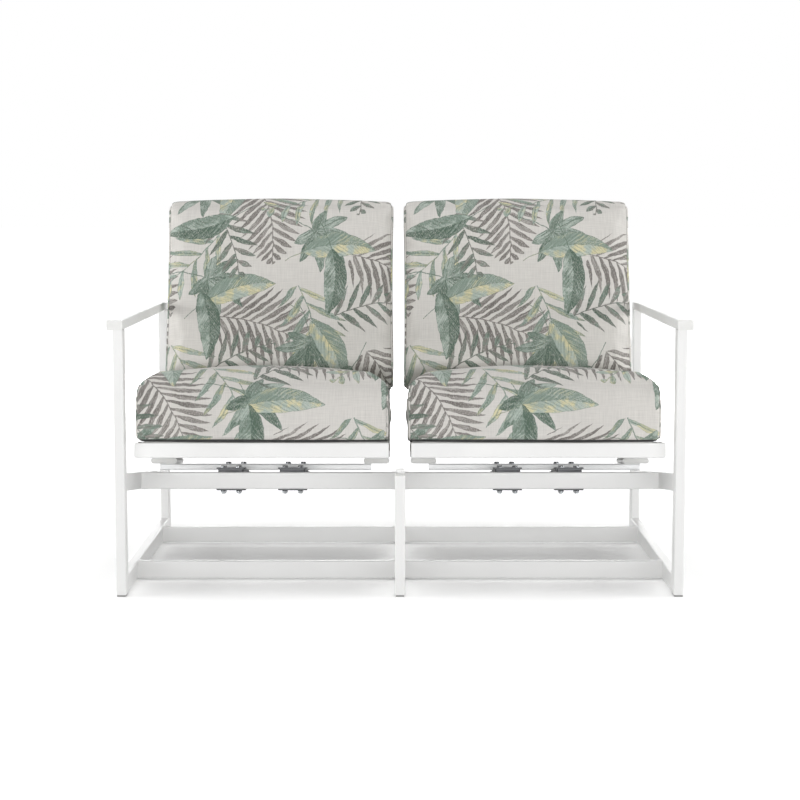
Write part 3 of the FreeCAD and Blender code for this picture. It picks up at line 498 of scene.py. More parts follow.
def ring_stack(levels, around=ROUND_STEPS):
    """Rings up the Z axis. A level is a height, a radius and the flats of a hexagon that cuts it, if any."""
    turn = np.linspace(0, FULL_TURN, around, endpoint=False)
    sixth = FULL_TURN / 6
    corner = np.cos((turn + sixth / 2) % sixth - sixth / 2)
    rings = np.empty((len(levels), around, 3))
    for ring, (height, radius, flats) in zip(rings, levels):
        reach = np.full(around, radius) if flats is None else np.minimum(radius, flats / 2 / corner)
        ring[:] = np.stack([reach * np.cos(turn), reach * np.sin(turn), np.full(around, height)], -1)
    return rings


def hex_bolt(low, high, settings):
    """A hexagon bolt from its chamfered head down to its nut and its pointed end."""
    flats, shank = settings.flats, settings.shank / 2
    corner = flats / math.sqrt(3)
    face, chamfer, point = flats * 0.47, flats * 0.09, shank * 0.2
    nut_foot = low + settings.bolt_end
    nut_top = nut_foot + settings.nut
    seat = high - settings.head
    return ring_stack([
        (low, shank - point, None),
        (low + point, shank, None),
        (nut_foot, shank, None),
        (nut_foot, face, flats),
        (nut_foot + chamfer, corner, flats),
        (nut_top - chamfer, corner, flats),
        (nut_top, face, flats),
        (nut_top, shank, None),
        (seat, shank, None),
        (seat, corner, flats),
        (high - chamfer, corner, flats),
        (high, face, flats),
        (high, face * 0.9, None),
    ])


def button_head(settings):
    """A domed head with a hexagon socket sunk in it, on a short stub of its shank."""
    radius, height, socket = settings.button / 2, settings.button_height, settings.socket
    stub, depth, cone = 0.004, 0.0025, 0.0005
    arc = np.linspace(0, math.radians(62), 6)
    dome = [(height * math.sin(a) / math.sin(arc[-1]), radius * math.cos(a), None) for a in arc]
    return ring_stack([
        (-stub, settings.shank / 2, None),
        (0, settings.shank / 2, None),
        *dome,
        (height, socket * 0.62, socket),
        (height - depth, socket * 0.58, socket),
        (height - depth - cone, socket * 0.1, None),
    ])


class LOVESEAT_OT_bolts(bpy.types.Operator):
    """Makes the bolts of the spring clamps, of the spring bars and of the frame"""
    bl_idname = "loveseat.bolts"
    bl_label = "Make the bolts"

    def execute(self, context):
        settings = context.scene.loveseat_springs
        clamps = [(side, f"{side}_spring_rail") for side in SIDES]
        depth = settings.clamp_bolt_depth
        self.hex_bolts("zinc_clamp_bolts", "clamp_bolts", "base", clamps, depth, settings)
        for side in SIDES:
            bars = [(side, f"{side}_spring_bar")]
            node, body = f"{side}_bar_bolts", f"{side}_seat"
            self.hex_bolts(f"{side}_zinc_bar_bolts", node, body, bars, settings.bar_bolt_depth, settings)
        self.rail_bolts(settings)
        return {"FINISHED"}

    def hex_bolts(self, name, node, body, carriers, depth, settings):
        """Four bolts about the middle of each spring, square to the slope."""
        low, high = sloped_box(node, settings.pitch)
        places = []
        for side, carrier in carriers:
            edges = sloped_box(carrier, settings.pitch)
            along = (edges[0][1] + edges[1][1]) / 2
            for middle in spring_middles(side, settings):
                places += [(middle + across * settings.bolt_spacing / 2, along + back * depth / 2, 0)
                           for across in (-1, 1) for back in (-1, 1)]
        points, faces = repeated(hex_bolt(low[2], high[2], settings), places)
        material = bpy.data.materials["bright_zinc_plate"]
        piece = put_mesh(name, turned(points, -settings.pitch), faces, material)
        self.crease(piece)
        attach(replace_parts(piece, node), body)

    def rail_bolts(self, settings):
        """Two heads on the outside of the frame at each end of a cross rail."""
        head = button_head(settings)
        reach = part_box("rail_bolts")[1][0] - settings.button_height
        points, faces = [], []
        for rail, slope in (("spring_rail", settings.pitch), ("front_stretcher", 0), ("rear_stretcher", 0)):
            edges = sloped_box(f"left_{rail}", slope)
            middle = (edges[0] + edges[1]) / 2
            for sign in (-1, 1):
                turn = head[..., [2, 0, 1]] * (sign, 1, sign)
                places = [(sign * reach, middle[1], middle[2] + row * settings.rail_bolt_spacing / 2)
                          for row in (-1, 1)]
                more, sides = repeated(turn, places)
                start = sum(len(part) for part in points)
                points.append(turned(more, -slope))
                faces += [[corner + start for corner in face] for face in sides]
        material = bpy.data.materials["bright_zinc_plate"]
        piece = put_mesh("zinc_rail_bolts", np.concatenate(points), faces, material)
        self.crease(piece)
        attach(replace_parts(piece, "rail_bolts"), "base")

    def crease(self, piece):
        """Keeps the edges of heads and nuts sharp under smooth shading."""
        piece.data.set_sharp_from_angle(angle=CREASE)


# Straps

# How far a strap's edges are eased, as a share of its thickness
STRAP_EASE = 0.3


def strap_rings(half, thickness, width, settings):
    """A flat strip carried along a line that turns down round a rail at both ends and sags between."""
    arc = np.linspace(0, math.pi / 2, 7)
    bend = settings.bend
    run = np.linspace(-1, 1, settings.steps)
    span = half - bend
    rise = thickness / 2
    left = np.stack([-half + bend - bend * np.cos(arc), rise - bend + bend * np.sin(arc)], -1)
    middle = np.stack([span * run, rise - settings.sag * (1 - run ** 2) ** 2], -1)
    down = np.array([[-half, rise - settings.tuck]])
    line = np.concatenate([down, left, middle[1:-1], left[::-1] * (-1, 1), down * (-1, 1)])
    step = np.gradient(line, axis=0)
    normal = np.stack([-step[:, 1], step[:, 0]], -1) / np.linalg.norm(step, axis=1)[:, None]
    edge = thickness * STRAP_EASE
    # A point's side and face, then whether the eased corner draws it in from the side or from the face
    profile = np.array([(-1, -1, 1, 0), (-1, -1, 0, 1), (-1, 1, 0, 1), (-1, 1, 1, 0),
                        (1, 1, 1, 0), (1, 1, 0, 1), (1, -1, 0, 1), (1, -1, 1, 0)])
    across = profile[:, 0] * (width / 2 - edge * profile[:, 2])
    out = profile[:, 1] * (thickness / 2 - edge * profile[:, 3])
    rings = np.empty((len(line), len(profile), 3))
    rings[..., 0] = line[:, 0][:, None] + normal[:, 0][:, None] * out
    rings[..., 1] = across
    rings[..., 2] = line[:, 1][:, None] + normal[:, 1][:, None] * out
    travelled = np.concatenate([[0], np.cumsum(np.linalg.norm(np.diff(line, axis=0), axis=1))])
    return rings, np.stack(np.broadcast_arrays(travelled[:, None], across[None]), -1)


class LOVESEAT_OT_webbing(bpy.types.Operator):
    """Makes the straps that carry the cushions"""
    bl_idname = "loveseat.webbing"
    bl_label = "Make the webbing"

    def execute(self, context):
        settings = context.scene.loveseat_webbing
        material = woven_vinyl(settings)
        pitch, recline = context.scene.loveseat_springs.pitch, context.scene.loveseat_cushions.recline
        for side in SIDES:
            self.straps(f"{side}_seat_straps", f"{side}_seat", pitch, material, settings)
            self.straps(f"{side}_back_straps", f"{side}_seat", recline, material, settings)
        return {"FINISHED"}

    def straps(self, node, body, slope, material, settings):
        """One strip for each strap of a node; on the back they stand upright and face forwards."""
        points = turned(node_points(node), slope)
        low, high = points.min(0), points.max(0)
        upright = "back" in node
        starts = np.unique(np.round(points[:, 2 if upright else 1], 4)).reshape(-1, 2)
        thickness = (high[1] - low[1]) if upright else (high[2] - low[2])
        rings, flat = strap_rings((high[0] - low[0]) / 2, thickness, starts[0, 1] - starts[0, 0], settings)
        if upright:
            rings = rings[..., [0, 2, 1]] * (1, -1, 1)
        middle = (low + high) / 2
        if upright:
            places = [(middle[0], middle[1], start.mean()) for start in starts]
        else:
            places = [(middle[0], start.mean(), middle[2]) for start in starts]
        spots, faces = repeated(rings, places)
        piece = put_mesh(f"{node}_woven", turned(spots, -slope), faces, material)
        cloth = piece.data.uv_layers.new(name="strap")
        corners = read_rows(piece.data.loops, "vertex_index", 1, np.int32)
        pattern = flat.reshape(-1, 2)[corners % flat[..., 0].size]
        cloth.uv.foreach_set("vector", pattern.astype(np.float32).ravel())
        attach(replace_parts(piece, node), body)


# Cushions

# Points round a corner of the profile; rings across half a cushion, round its side, and to close the side
CORNER_STEPS = 24
ACROSS_STEPS, ROUND_RINGS, CLOSING_RINGS = 40, 6, 9
# Points are compared with the profile in this many lots, to spare memory
LOTS = 24
# Share of the crown that is left at a cushion's sides, and the power that flattens it along the depth
SIDE_CROWN = 0.2
CROWN_POWER = 0.8
# Waves of the slack in a cover, in radians to the metre along the cushion's axes, and a shift between them
SLACK_WAVES = ((21, 9, 4), (-7, 17, 11), (5, -12, 31))
SLACK_SHIFT = 1.3
# How far the gathers beside a seam drift from even spacing, and how fast, both in radians
GATHER_DRIFT = 2.2
GATHER_WAVE = 37
# Where a back cushion may rest on its seat: shares of the seat's half width and of its depth
REST_WIDTH = 0.94
REST_START, REST_END = 0.5, 0.94
# Powers of the width and of the depth in the surface fitted to a seat
WIDTH_POWERS, DEPTH_POWERS = (0, 2, 4, 6), (0, 1, 2, 3, 4)
# Where the side panels are cut from the printed cloth
PANEL_START = 0.4


def box_profile(depth, height, radii, spacing):
    """A closed rounded rectangle of evenly spaced points, from the middle of its foot round by the rear."""
    centres = [(radii[0], radii[0]), (depth - radii[1], radii[1]),
               (depth - radii[2], height - radii[2]), (radii[3], height - radii[3])]
    pieces = [np.array([[depth / 2, 0]])]
    for index in (1, 2, 3, 0):
        turn = np.linspace(0, math.pi / 2, CORNER_STEPS) + (index - 2) * math.pi / 2
        pieces.append(np.array(centres[index]) + radii[index] * np.stack([np.cos(turn), np.sin(turn)], -1))
    pieces.append(np.array([[depth / 2, 0]]))
    rough = np.concatenate(pieces)
    travelled = np.concatenate([[0], np.cumsum(np.linalg.norm(np.diff(rough, axis=0), axis=1))])
    even = np.linspace(0, travelled[-1], int(travelled[-1] / spacing), endpoint=False)
    return np.stack([np.interp(even, travelled, rough[:, axis]) for axis in (0, 1)], -1), even


def slab_rings(profile, half, rounding):
    """The profile carried across the width; each side rounds over and closes on its middle line."""
    step = np.roll(profile, -1, 0) - np.roll(profile, 1, 0)
    inward = np.stack([-step[:, 1], step[:, 0]], -1) / np.linalg.norm(step, axis=1)[:, None]
    low, high = profile.min(0), profile.max(0)
    middle = (low[1] + high[1]) / 2
    inner = np.clip(profile[:, 0], low[0] + middle, high[0] - middle)
    core = np.stack([inner, np.full(len(profile), middle)], -1)
    arc = np.linspace(0, math.pi / 2, ROUND_RINGS + 1)[1:]
    even = np.linspace(0, half - rounding, ACROSS_STEPS)
    across = np.concatenate([even, half - rounding + rounding * np.sin(arc)])
    inset = np.concatenate([np.zeros(ACROSS_STEPS), rounding * (1 - np.cos(arc))])
    rings = profile[None] + inward[None] * inset[:, None, None]
    close = np.linspace(0, 1, CLOSING_RINGS + 1)[1:, None, None]
    sides = rings[-1:] + (core[None] - rings[-1:]) * close
    rings = np.concatenate([rings, sides])
    across = np.concatenate([across, np.full(len(close), half)])
    both = np.concatenate([rings[:0:-1], rings])
    place = np.concatenate([-across[:0:-1], across])
    return np.concatenate([np.broadcast_to(place[:, None, None], (*both.shape[:2], 1)), both], -1)


def evaluated_arrays(piece):
    """Points of an object with its modifiers, and the mesh that holds them."""
    mesh = bpy.data.meshes.new_from_object(piece.evaluated_get(bpy.context.evaluated_depsgraph_get()))
    return read_rows(mesh.vertices, "co", 3), mesh


def blown_up(piece, settings):
    """The points after the cover has been blown up from inside. A point moves out by the swell at most where
    the cover faces up and by the side swell where it faces sideways, in by the pull, and never through the
    foot."""
    rest, mesh = evaluated_arrays(piece)
    normal = read_rows(mesh.vertices, "normal", 3)
    bpy.data.meshes.remove(mesh)
    cloth = piece.modifiers.new("filling", "CLOTH")
    cloth.settings.quality = 5
    cloth.settings.use_pressure = True
    cloth.settings.uniform_pressure_force = settings.pressure
    cloth.settings.effector_weights.gravity = 0
    cloth.point_cache.frame_start = 1
    cloth.point_cache.frame_end = settings.frames
    for step in range(1, settings.frames + 1):
        bpy.context.scene.frame_set(step)
    full, mesh = evaluated_arrays(piece)
    bpy.data.meshes.remove(mesh)
    piece.modifiers.remove(cloth)
    bpy.context.scene.frame_set(1)
    most = settings.side_swell + (settings.swell - settings.side_swell) * normal[:, 2] ** 2
    out = np.clip(((full - rest) * normal).sum(1), -settings.pull, most)
    full = rest + normal * out[:, None]
    full[:, 2] = np.maximum(full[:, 2], 0)
    return full


def profile_places(points, profile, travelled):
    """For points across the profile: their distance from it, and how far along it the nearest point is."""
    edge = np.roll(profile, -1, 0) - profile
    span = np.linalg.norm(edge, axis=1)
    distance, along = np.empty(len(points)), np.empty(len(points))
    for lot in np.array_split(np.arange(len(points)), LOTS):
        gap = points[lot, None, :] - profile[None]
        share = np.clip((gap * edge).sum(-1) / span ** 2, 0, 1)
        far = np.linalg.norm(gap - share[..., None] * edge, axis=-1)
        nearest = far.argmin(1)
        row = np.arange(len(lot))
        distance[lot] = far[row, nearest]
        along[lot] = travelled[nearest] + share[row, nearest] * span[nearest]
    return distance, along


def cushion_mesh(name, size, radii, crown, arch, ear, settings):
    """A boxed cushion in its own frame: X across, Y along the profile's depth, Z out of its foot.
    A rounded slab is remeshed, crowned and drawn in, blown up, fitted to its size and seamed. The crown
    falls with the square of the distance from the middle; arch and ear move the far edge by powers of the
    depth."""
    width, depth, height = size
    half, thick = width / 2, height - crown
    profile, travelled = box_profile(depth, thick, radii, settings.voxel / 3)
    rings = slab_rings(profile, half, settings.side_round)
    slab = put_mesh(f"{name}_slab", rings.reshape(-1, 3), tube_faces(*rings.shape[:2]), None)
    remesh = slab.modifiers.new("even", "REMESH")
    remesh.mode = "VOXEL"
    remesh.voxel_size = settings.voxel
    remesh.use_smooth_shade = True
    flat, mesh = evaluated_arrays(slab)
    bpy.data.objects.remove(slab)

    inner, along = profile_places(flat[:, 1:], profile, travelled)
    seam = half - np.abs(flat[:, 0]) - inner
    for label, values in (("seam", seam), ("along", along), ("deep", flat[:, 1]), ("high", flat[:, 2])):
        write_attribute(mesh, label, values)

    swell_across = SIDE_CROWN + (1 - SIDE_CROWN) * (1 - (flat[:, 0] / half) ** 2)
    swell_along = np.maximum(0, 1 - (2 * flat[:, 1] / depth - 1) ** 2)
    shaped = flat.copy()
    shaped[:, 2] += crown * swell_across * swell_along ** CROWN_POWER * np.clip(flat[:, 2] / thick, 0, 1)
    upper = np.clip(flat[:, 1] / depth, 0, 1) ** 2
    ears = np.clip(1 - (half - np.abs(flat[:, 0])) / settings.ear_reach, 0, 1) ** 2
    shaped[:, 1] += arch * swell_across * upper - ear * ears * upper ** 2
    shaped[:, 0] *= 1 - settings.draw / half * swell_along
    write_points(mesh, shaped)
    cover = bpy.data.objects.new(f"{name}_cover", mesh)
    bpy.context.scene.collection.objects.link(cover)
    write_points(mesh, blown_up(cover, settings))
    fine = cover.modifiers.new("fine", "SUBSURF")
    fine.levels = fine.render_levels = 1
    points, smooth = evaluated_arrays(cover)
    bpy.data.objects.remove(cover)
    return fitted(points, smooth, size, settings), smooth


def fitted(points, mesh, size, settings):
    """Points scaled to the cushion's size, flat on the foot. Slack is a sum of sines that is nil at a seam;
    gathers run along the seam and fade from it as a bell curve, and so does the drawn-in seam itself."""
    low, high = points.min(0), points.max(0)
    span = np.array(size)
    points = (points - low) / (high - low) * span - (span[0] / 2, 0, 0)
    write_points(mesh, points)
    seam, along = read_attribute(mesh, "seam"), read_attribute(mesh, "along")
    normal = read_rows(mesh.vertices, "normal", 3)
    first, second, third = (points @ wave for wave in SLACK_WAVES)
    slack = np.sin(first) * np.sin(second + SLACK_SHIFT) + np.sin(third)
    drift = GATHER_DRIFT * np.sin(along * GATHER_WAVE)
    gather = np.sin(FULL_TURN * along / settings.pucker_pitch + drift)
    lift = settings.ease * slack / 2 * np.clip(np.abs(seam) / settings.ease_reach, 0, 1)
    lift += settings.pucker * gather * np.exp(-(seam / settings.pucker_reach) ** 2)
    lift -= settings.seam_depth * np.exp(-(seam / settings.seam_width) ** 2)
    points = points + normal * lift[:, None]
    points[:, 2] = np.maximum(points[:, 2], 0)
    return points


def surface_terms(places, size):
    """Even powers across a seat cushion times powers along it, kept to the part that a back rests on."""
    across = np.clip(2 * places[:, 0] / size[0], -REST_WIDTH, REST_WIDTH)
    along = np.clip(places[:, 1] / size[1], REST_START, REST_END)
    return np.stack([across ** wide * along ** deep for wide in WIDTH_POWERS for deep in DEPTH_POWERS], -1)


def let_down(points, feet, seat, size, settings):
    """A back cushion's points, let down onto its seat. A smooth surface is fitted to the seat's top by least
    squares; each point sinks by the gap under its foot, times the square of what is left of the settle
    height above it."""
    across, along = np.abs(2 * seat[:, 0] / size[0]), seat[:, 1] / size[1]
    inside = (across < REST_WIDTH) & (along > REST_START) & (along < REST_END)
    rear = seat[(seat[:, 2] > size[2] / 2) & inside]
    weights = np.linalg.lstsq(surface_terms(rear, size), rear[:, 2], rcond=None)[0]
    gap = feet[:, 2] - surface_terms(feet, size) @ weights + settings.press
    left = np.clip(1 - points[:, 1] / settings.settle_height, 0, 1)
    sunk = points.copy()
    sunk[:, 1] -= np.clip(gap, 0, settings.settle) * left ** 2
    return sunk


def read_attribute(mesh, label):
    """The number that is kept for each vertex under a label."""
    return read_rows(mesh.attributes[label].data, "value")


def lay_cloth(mesh, offset):
    """The cover's flat pattern as a UV map in metres: the wrapped panel by its width and its length along
    the profile, the side panels as they are cut. A face across the profile's start keeps to one end."""
    corners = read_rows(mesh.loops, "vertex_index", 1, np.int32)
    across = read_rows(mesh.vertices, "co", 3)[:, 0]
    seam, along, deep, high = (read_attribute(mesh, label) for label in ("seam", "along", "deep", "high"))
    starts = read_rows(mesh.polygons, "loop_start", 1, np.int32)
    counts = np.diff(np.append(starts, len(corners)))
    face = np.repeat(np.arange(len(starts)), counts)
    side = (np.add.reduceat(seam[corners], starts) < 0)[face]
    start = along[corners[starts]][face]
    run = along[corners]
    whole = along.max()
    run = np.where(run - start > whole / 2, run - whole, np.where(start - run > whole / 2, run + whole, run))
    wrapped = np.stack([across[corners], -run], -1)
    panel = np.stack([deep[corners] * np.sign(across[corners]) + PANEL_START, high[corners]], -1)
    cloth = mesh.uv_layers.new(name="cloth")
    pattern = np.where(side[:, None], panel, wrapped) + offset
    cloth.uv.foreach_set("vector", pattern.astype(np.float32).ravel())


# The cover's print

# Half widths of the drawn stems and ribs, and the least spread of leaflets at which a stem ends
BROAD_STALK, FEATHER_STEM, SPRAY_STEM = 0.0016, 0.0017, 0.0015
BROAD_RIB, SPRAY_RIB = 0.0012, 0.0008
STEM_END = 0.0015
# The size of the hand's wobble, and its waves to the metre
WOBBLE, WOBBLE_WAVES = 0.009, 38
# Where the outline is full and where it has faded, measured inwards, and the soft edge of the paint
OUTLINE = (0.0005, 0.0022)
SOFT_EDGE = 0.0007
# A broad leaf's stalk and the spacing of its veins
STALK_LENGTH = 0.07
VEIN_SPACING = 0.016


def leaf_cells(tree, cloth, pitch, offset, lean, spread, wander):
    """A half-drop repeat: every second column of cells moves by half a cell. Gives a point's place in its
    cell, along and across a stem that leans by a random angle, and the cell's random number."""
    moved = add(tree, "VectorMath", [cloth, (*offset, 0)], operation="ADD")
    cells = add(tree, "VectorMath", [moved, (1 / pitch[0], 1 / pitch[1], 1)], operation="MULTIPLY")
    axes = add(tree, "SeparateXYZ", [cells])
    column = add(tree, "Math", [axes.outputs[0]], operation="FLOOR")
    dropped = add(tree, "Math", [column, 0.5, axes.outputs[1]], operation="MULTIPLY_ADD")
    row = add(tree, "Math", [dropped], operation="FLOOR")
    cell = add(tree, "CombineXYZ", [column, row, 0.37])
    chance = add(tree, "TexWhiteNoise", [cell], noise_dimensions="3D")
    right = add(tree, "Math", [axes.outputs[0], column], operation="SUBTRACT")
    up = add(tree, "Math", [dropped, row], operation="SUBTRACT")
    inside = add(tree, "CombineXYZ", [right, up, 0.5])
    jitter = add(tree, "VectorMath", [chance.outputs["Color"], (0.5, 0.5, 0.5)], operation="SUBTRACT")
    jitter = add(tree, "VectorMath", [jitter, (wander, wander, 0), inside], operation="MULTIPLY_ADD")
    centred = add(tree, "VectorMath", [jitter, (0.5, 0.5, 0.5)], operation="SUBTRACT")
    place = add(tree, "VectorMath", [centred, (*pitch, 0)], operation="MULTIPLY")
    turn = add(tree, "MapRange", {"Value": chance, "To Min": lean - spread, "To Max": lean + spread})
    stem = add(tree, "VectorRotate", {"Vector": place, "Angle": turn}, rotation_type="Z_AXIS")
    wobble = add(tree, "TexNoise", {"Vector": cloth, "Scale": WOBBLE_WAVES, "Detail": 2})
    wobble = add(tree, "VectorMath", [wobble.outputs["Color"], (0.5, 0.5, 0.5)], operation="SUBTRACT")
    drawn = add(tree, "VectorMath", [wobble, (WOBBLE, WOBBLE, 0), stem], operation="MULTIPLY_ADD")
    place = add(tree, "SeparateXYZ", [drawn])
    return place.outputs[0], place.outputs[1], chance


def bowed(tree, along, across, bow):
    """The distance across a stem that bows by bow times the square of the length along it."""
    square = add(tree, "Math", [along, along], operation="MULTIPLY")
    return add(tree, "Math", [square, bow, across], operation="MULTIPLY_ADD")


def lens(tree, along, reach, width, power, skew):
    """The half width of a pointed leaf: width times (4 t (1 - t)) to a power, with t from foot to tip. First
    t is raised to the skew, which moves the widest place to the foot below 1 and to the tip above 1."""
    share = add(tree, "Math", [along, reach], operation="DIVIDE", use_clamp=True)
    share = add(tree, "Math", [share, skew], operation="POWER")
    rest = add(tree, "Math", [1.0, share], operation="SUBTRACT")
    product = add(tree, "Math", [share, rest], operation="MULTIPLY")
    full = add(tree, "Math", [product, 4.0], operation="MULTIPLY")
    shape = add(tree, "Math", [full, power], operation="POWER")
    return add(tree, "Math", [shape, width], operation="MULTIPLY")


def strokes(tree, across, along, chance, fine, long):
    """Brush strokes: noise drawn out along a leaf, with fine waves to the metre across and long along."""
    narrow = add(tree, "Math", [across, fine], operation="MULTIPLY")
    drawn = add(tree, "Math", [along, long], operation="MULTIPLY")
    seed = add(tree, "Math", [chance, 31.0], operation="MULTIPLY")
    place = add(tree, "CombineXYZ", [narrow, drawn, seed])
    return add(tree, "TexNoise", {"Vector": place, "Scale": 1, "Detail": 3, "Roughness": 0.6}).outputs[0]


def broad_leaf(tree, along, across, chance, reach, width):
    """One pointed leaf with a midrib, slanting veins and a short stalk. Like the next two, it gives how far
    inside the leaf a point is, the leaf's tone, its ribs and its brush strokes."""
    foot = add(tree, "Math", [along, reach / 2], operation="ADD")
    curved = bowed(tree, along, across, bow=1.8)
    side = add(tree, "Math", [curved], operation="ABSOLUTE")
    half = lens(tree, foot, reach, width, power=0.85, skew=0.8)
    inside = add(tree, "Math", [half, side], operation="SUBTRACT")
    stalk = add(tree, "Math", [BROAD_STALK, side], operation="SUBTRACT")
    # Two millimetres inside along the stalk's length, and two outside beyond it
    below = add(tree, "Math", [foot, -STALK_LENGTH / 2, STALK_LENGTH / 2], operation="COMPARE")
    below = add(tree, "Math", [below, 0.004], operation="MULTIPLY")
    below = add(tree, "Math", [below, 0.002], operation="SUBTRACT")
    stalk = add(tree, "Math", [stalk, below], operation="MINIMUM")
    inside = add(tree, "Math", [inside, stalk], operation="MAXIMUM")
    slant = add(tree, "Math", [side, -1.5, along], operation="MULTIPLY_ADD")
    vein = add(tree, "Math", [slant, 1 / VEIN_SPACING], operation="MULTIPLY")
    vein = add(tree, "Math", [vein], operation="FRACT")
    vein = add(tree, "Math", [vein, 0.5, 0.08], operation="COMPARE")
    rib = add(tree, "Math", [side, 0.0, BROAD_RIB], operation="COMPARE")
    ribs = add(tree, "Math", [rib, vein], operation="MAXIMUM")
    tone = add(tree, "Math", [curved, 0.0], operation="GREATER_THAN")
    return inside, tone, ribs, strokes(tree, slant, side, chance, fine=190, long=35)


def feather_leaf(tree, along, across, chance, reach, width, pitch, full, slope, droop):
    """Narrow leaflets that slant off a stem by turns on its two sides and shorten to its ends."""
    foot = add(tree, "Math", [along, reach / 2], operation="ADD")
    curved = bowed(tree, along, across, bow=1.1)
    side = add(tree, "Math", [curved], operation="ABSOLUTE")
    half_side = add(tree, "Math", [curved], operation="SIGN")
    span = lens(tree, foot, reach, width, power=0.6, skew=0.75)
    rise = add(tree, "Math", [side, side], operation="MULTIPLY")
    slant = add(tree, "Math", [rise, droop, along], operation="MULTIPLY_ADD")
    slant = add(tree, "Math", [side, -slope, slant], operation="MULTIPLY_ADD")
    count = add(tree, "Math", [slant, 1 / pitch], operation="MULTIPLY")
    count = add(tree, "Math", [half_side, 0.25, count], operation="MULTIPLY_ADD")
    number = add(tree, "Math", [count], operation="FLOOR")
    place = add(tree, "Math", [count], operation="FRACT")
    place = add(tree, "Math", [place, 0.5], operation="SUBTRACT")
    off = add(tree, "Math", [place], operation="ABSOLUTE")
    out = add(tree, "Math", [side, span], operation="DIVIDE", use_clamp=True)
    thin = add(tree, "Math", [out, 2.0], operation="POWER")
    thin = add(tree, "Math", [1.0, thin], operation="SUBTRACT")
    swell = add(tree, "MapRange", {"Value": out, "From Max": 0.35, "To Min": 0.35})
    half = add(tree, "Math", [thin, swell], operation="MULTIPLY")
    half = add(tree, "Math", [half, full], operation="MULTIPLY")
    inside = add(tree, "Math", [half, off], operation="SUBTRACT")
    inside = add(tree, "Math", [inside, pitch * 0.8], operation="MULTIPLY")
    short = add(tree, "Math", [span, side], operation="SUBTRACT")
    inside = add(tree, "Math", [inside, short], operation="MINIMUM")
    stem = add(tree, "Math", [FEATHER_STEM, side], operation="SUBTRACT")
    left = add(tree, "Math", [span, STEM_END], operation="SUBTRACT")
    stem = add(tree, "Math", [stem, left], operation="MINIMUM")
    inside = add(tree, "Math", [inside, stem], operation="MAXIMUM")
    rib = add(tree, "Math", [off, 0.0, 0.05], operation="COMPARE")
    seed = add(tree, "Math", [half_side, 0.31, number], operation="MULTIPLY_ADD")
    tone = add(tree, "TexWhiteNoise", {"W": seed}, noise_dimensions="1D")
    return inside, tone, rib, strokes(tree, count, side, chance, fine=6, long=26)


def spray(tree, along, across, chance, reach, width, gap, most):
    """Pointed leaflets that fan out from one point, the side ones shorter, on a bowed stem."""
    far = add(tree, "Math", [along, along], operation="MULTIPLY")
    far = add(tree, "Math", [across, across, far], operation="MULTIPLY_ADD")
    far = add(tree, "Math", [far], operation="SQRT")
    turn = add(tree, "Math", [across, along], operation="ARCTAN2")
    turn = add(tree, "Math", [far, 1.6, turn], operation="MULTIPLY_ADD")
    number = add(tree, "Math", [turn, 1 / gap], operation="MULTIPLY")
    number = add(tree, "Math", [number], operation="ROUND")
    number = add(tree, "Math", [number, most], operation="MINIMUM")
    number = add(tree, "Math", [number, -most], operation="MAXIMUM")
    off = add(tree, "Math", [number, -gap, turn], operation="MULTIPLY_ADD")
    square = add(tree, "Math", [number, number], operation="MULTIPLY")
    span = add(tree, "Math", [square, -0.05 * reach, reach], operation="MULTIPLY_ADD")
    half = lens(tree, far, span, width, power=0.85, skew=0.85)
    sine = add(tree, "Math", [off], operation="SINE")
    aside = add(tree, "Math", [sine, far], operation="MULTIPLY")
    side = add(tree, "Math", [aside], operation="ABSOLUTE")
    inside = add(tree, "Math", [half, side], operation="SUBTRACT")
    ahead = add(tree, "Math", [off], operation="COSINE")
    inside = add(tree, "Math", [inside, ahead], operation="MINIMUM")
    below = add(tree, "Math", [along, -1.0], operation="MULTIPLY")
    bent = bowed(tree, along, across, bow=2.5)
    stem = add(tree, "Math", [bent], operation="ABSOLUTE")
    stem = add(tree, "Math", [SPRAY_STEM, stem], operation="SUBTRACT")
    stem = add(tree, "Math", [stem, below], operation="MINIMUM")
    cut = add(tree, "Math", [reach * 0.9, below], operation="SUBTRACT")
    stem = add(tree, "Math", [stem, cut], operation="MINIMUM")
    inside = add(tree, "Math", [inside, stem], operation="MAXIMUM")
    rib = add(tree, "Math", [side, 0.0, SPRAY_RIB], operation="COMPARE")
    seed = add(tree, "Math", [chance, 53.0, number], operation="MULTIPLY_ADD")
    tone = add(tree, "TexWhiteNoise", {"W": seed}, noise_dimensions="1D")
    return inside, tone, rib, strokes(tree, aside, far, tone, fine=330, long=28)


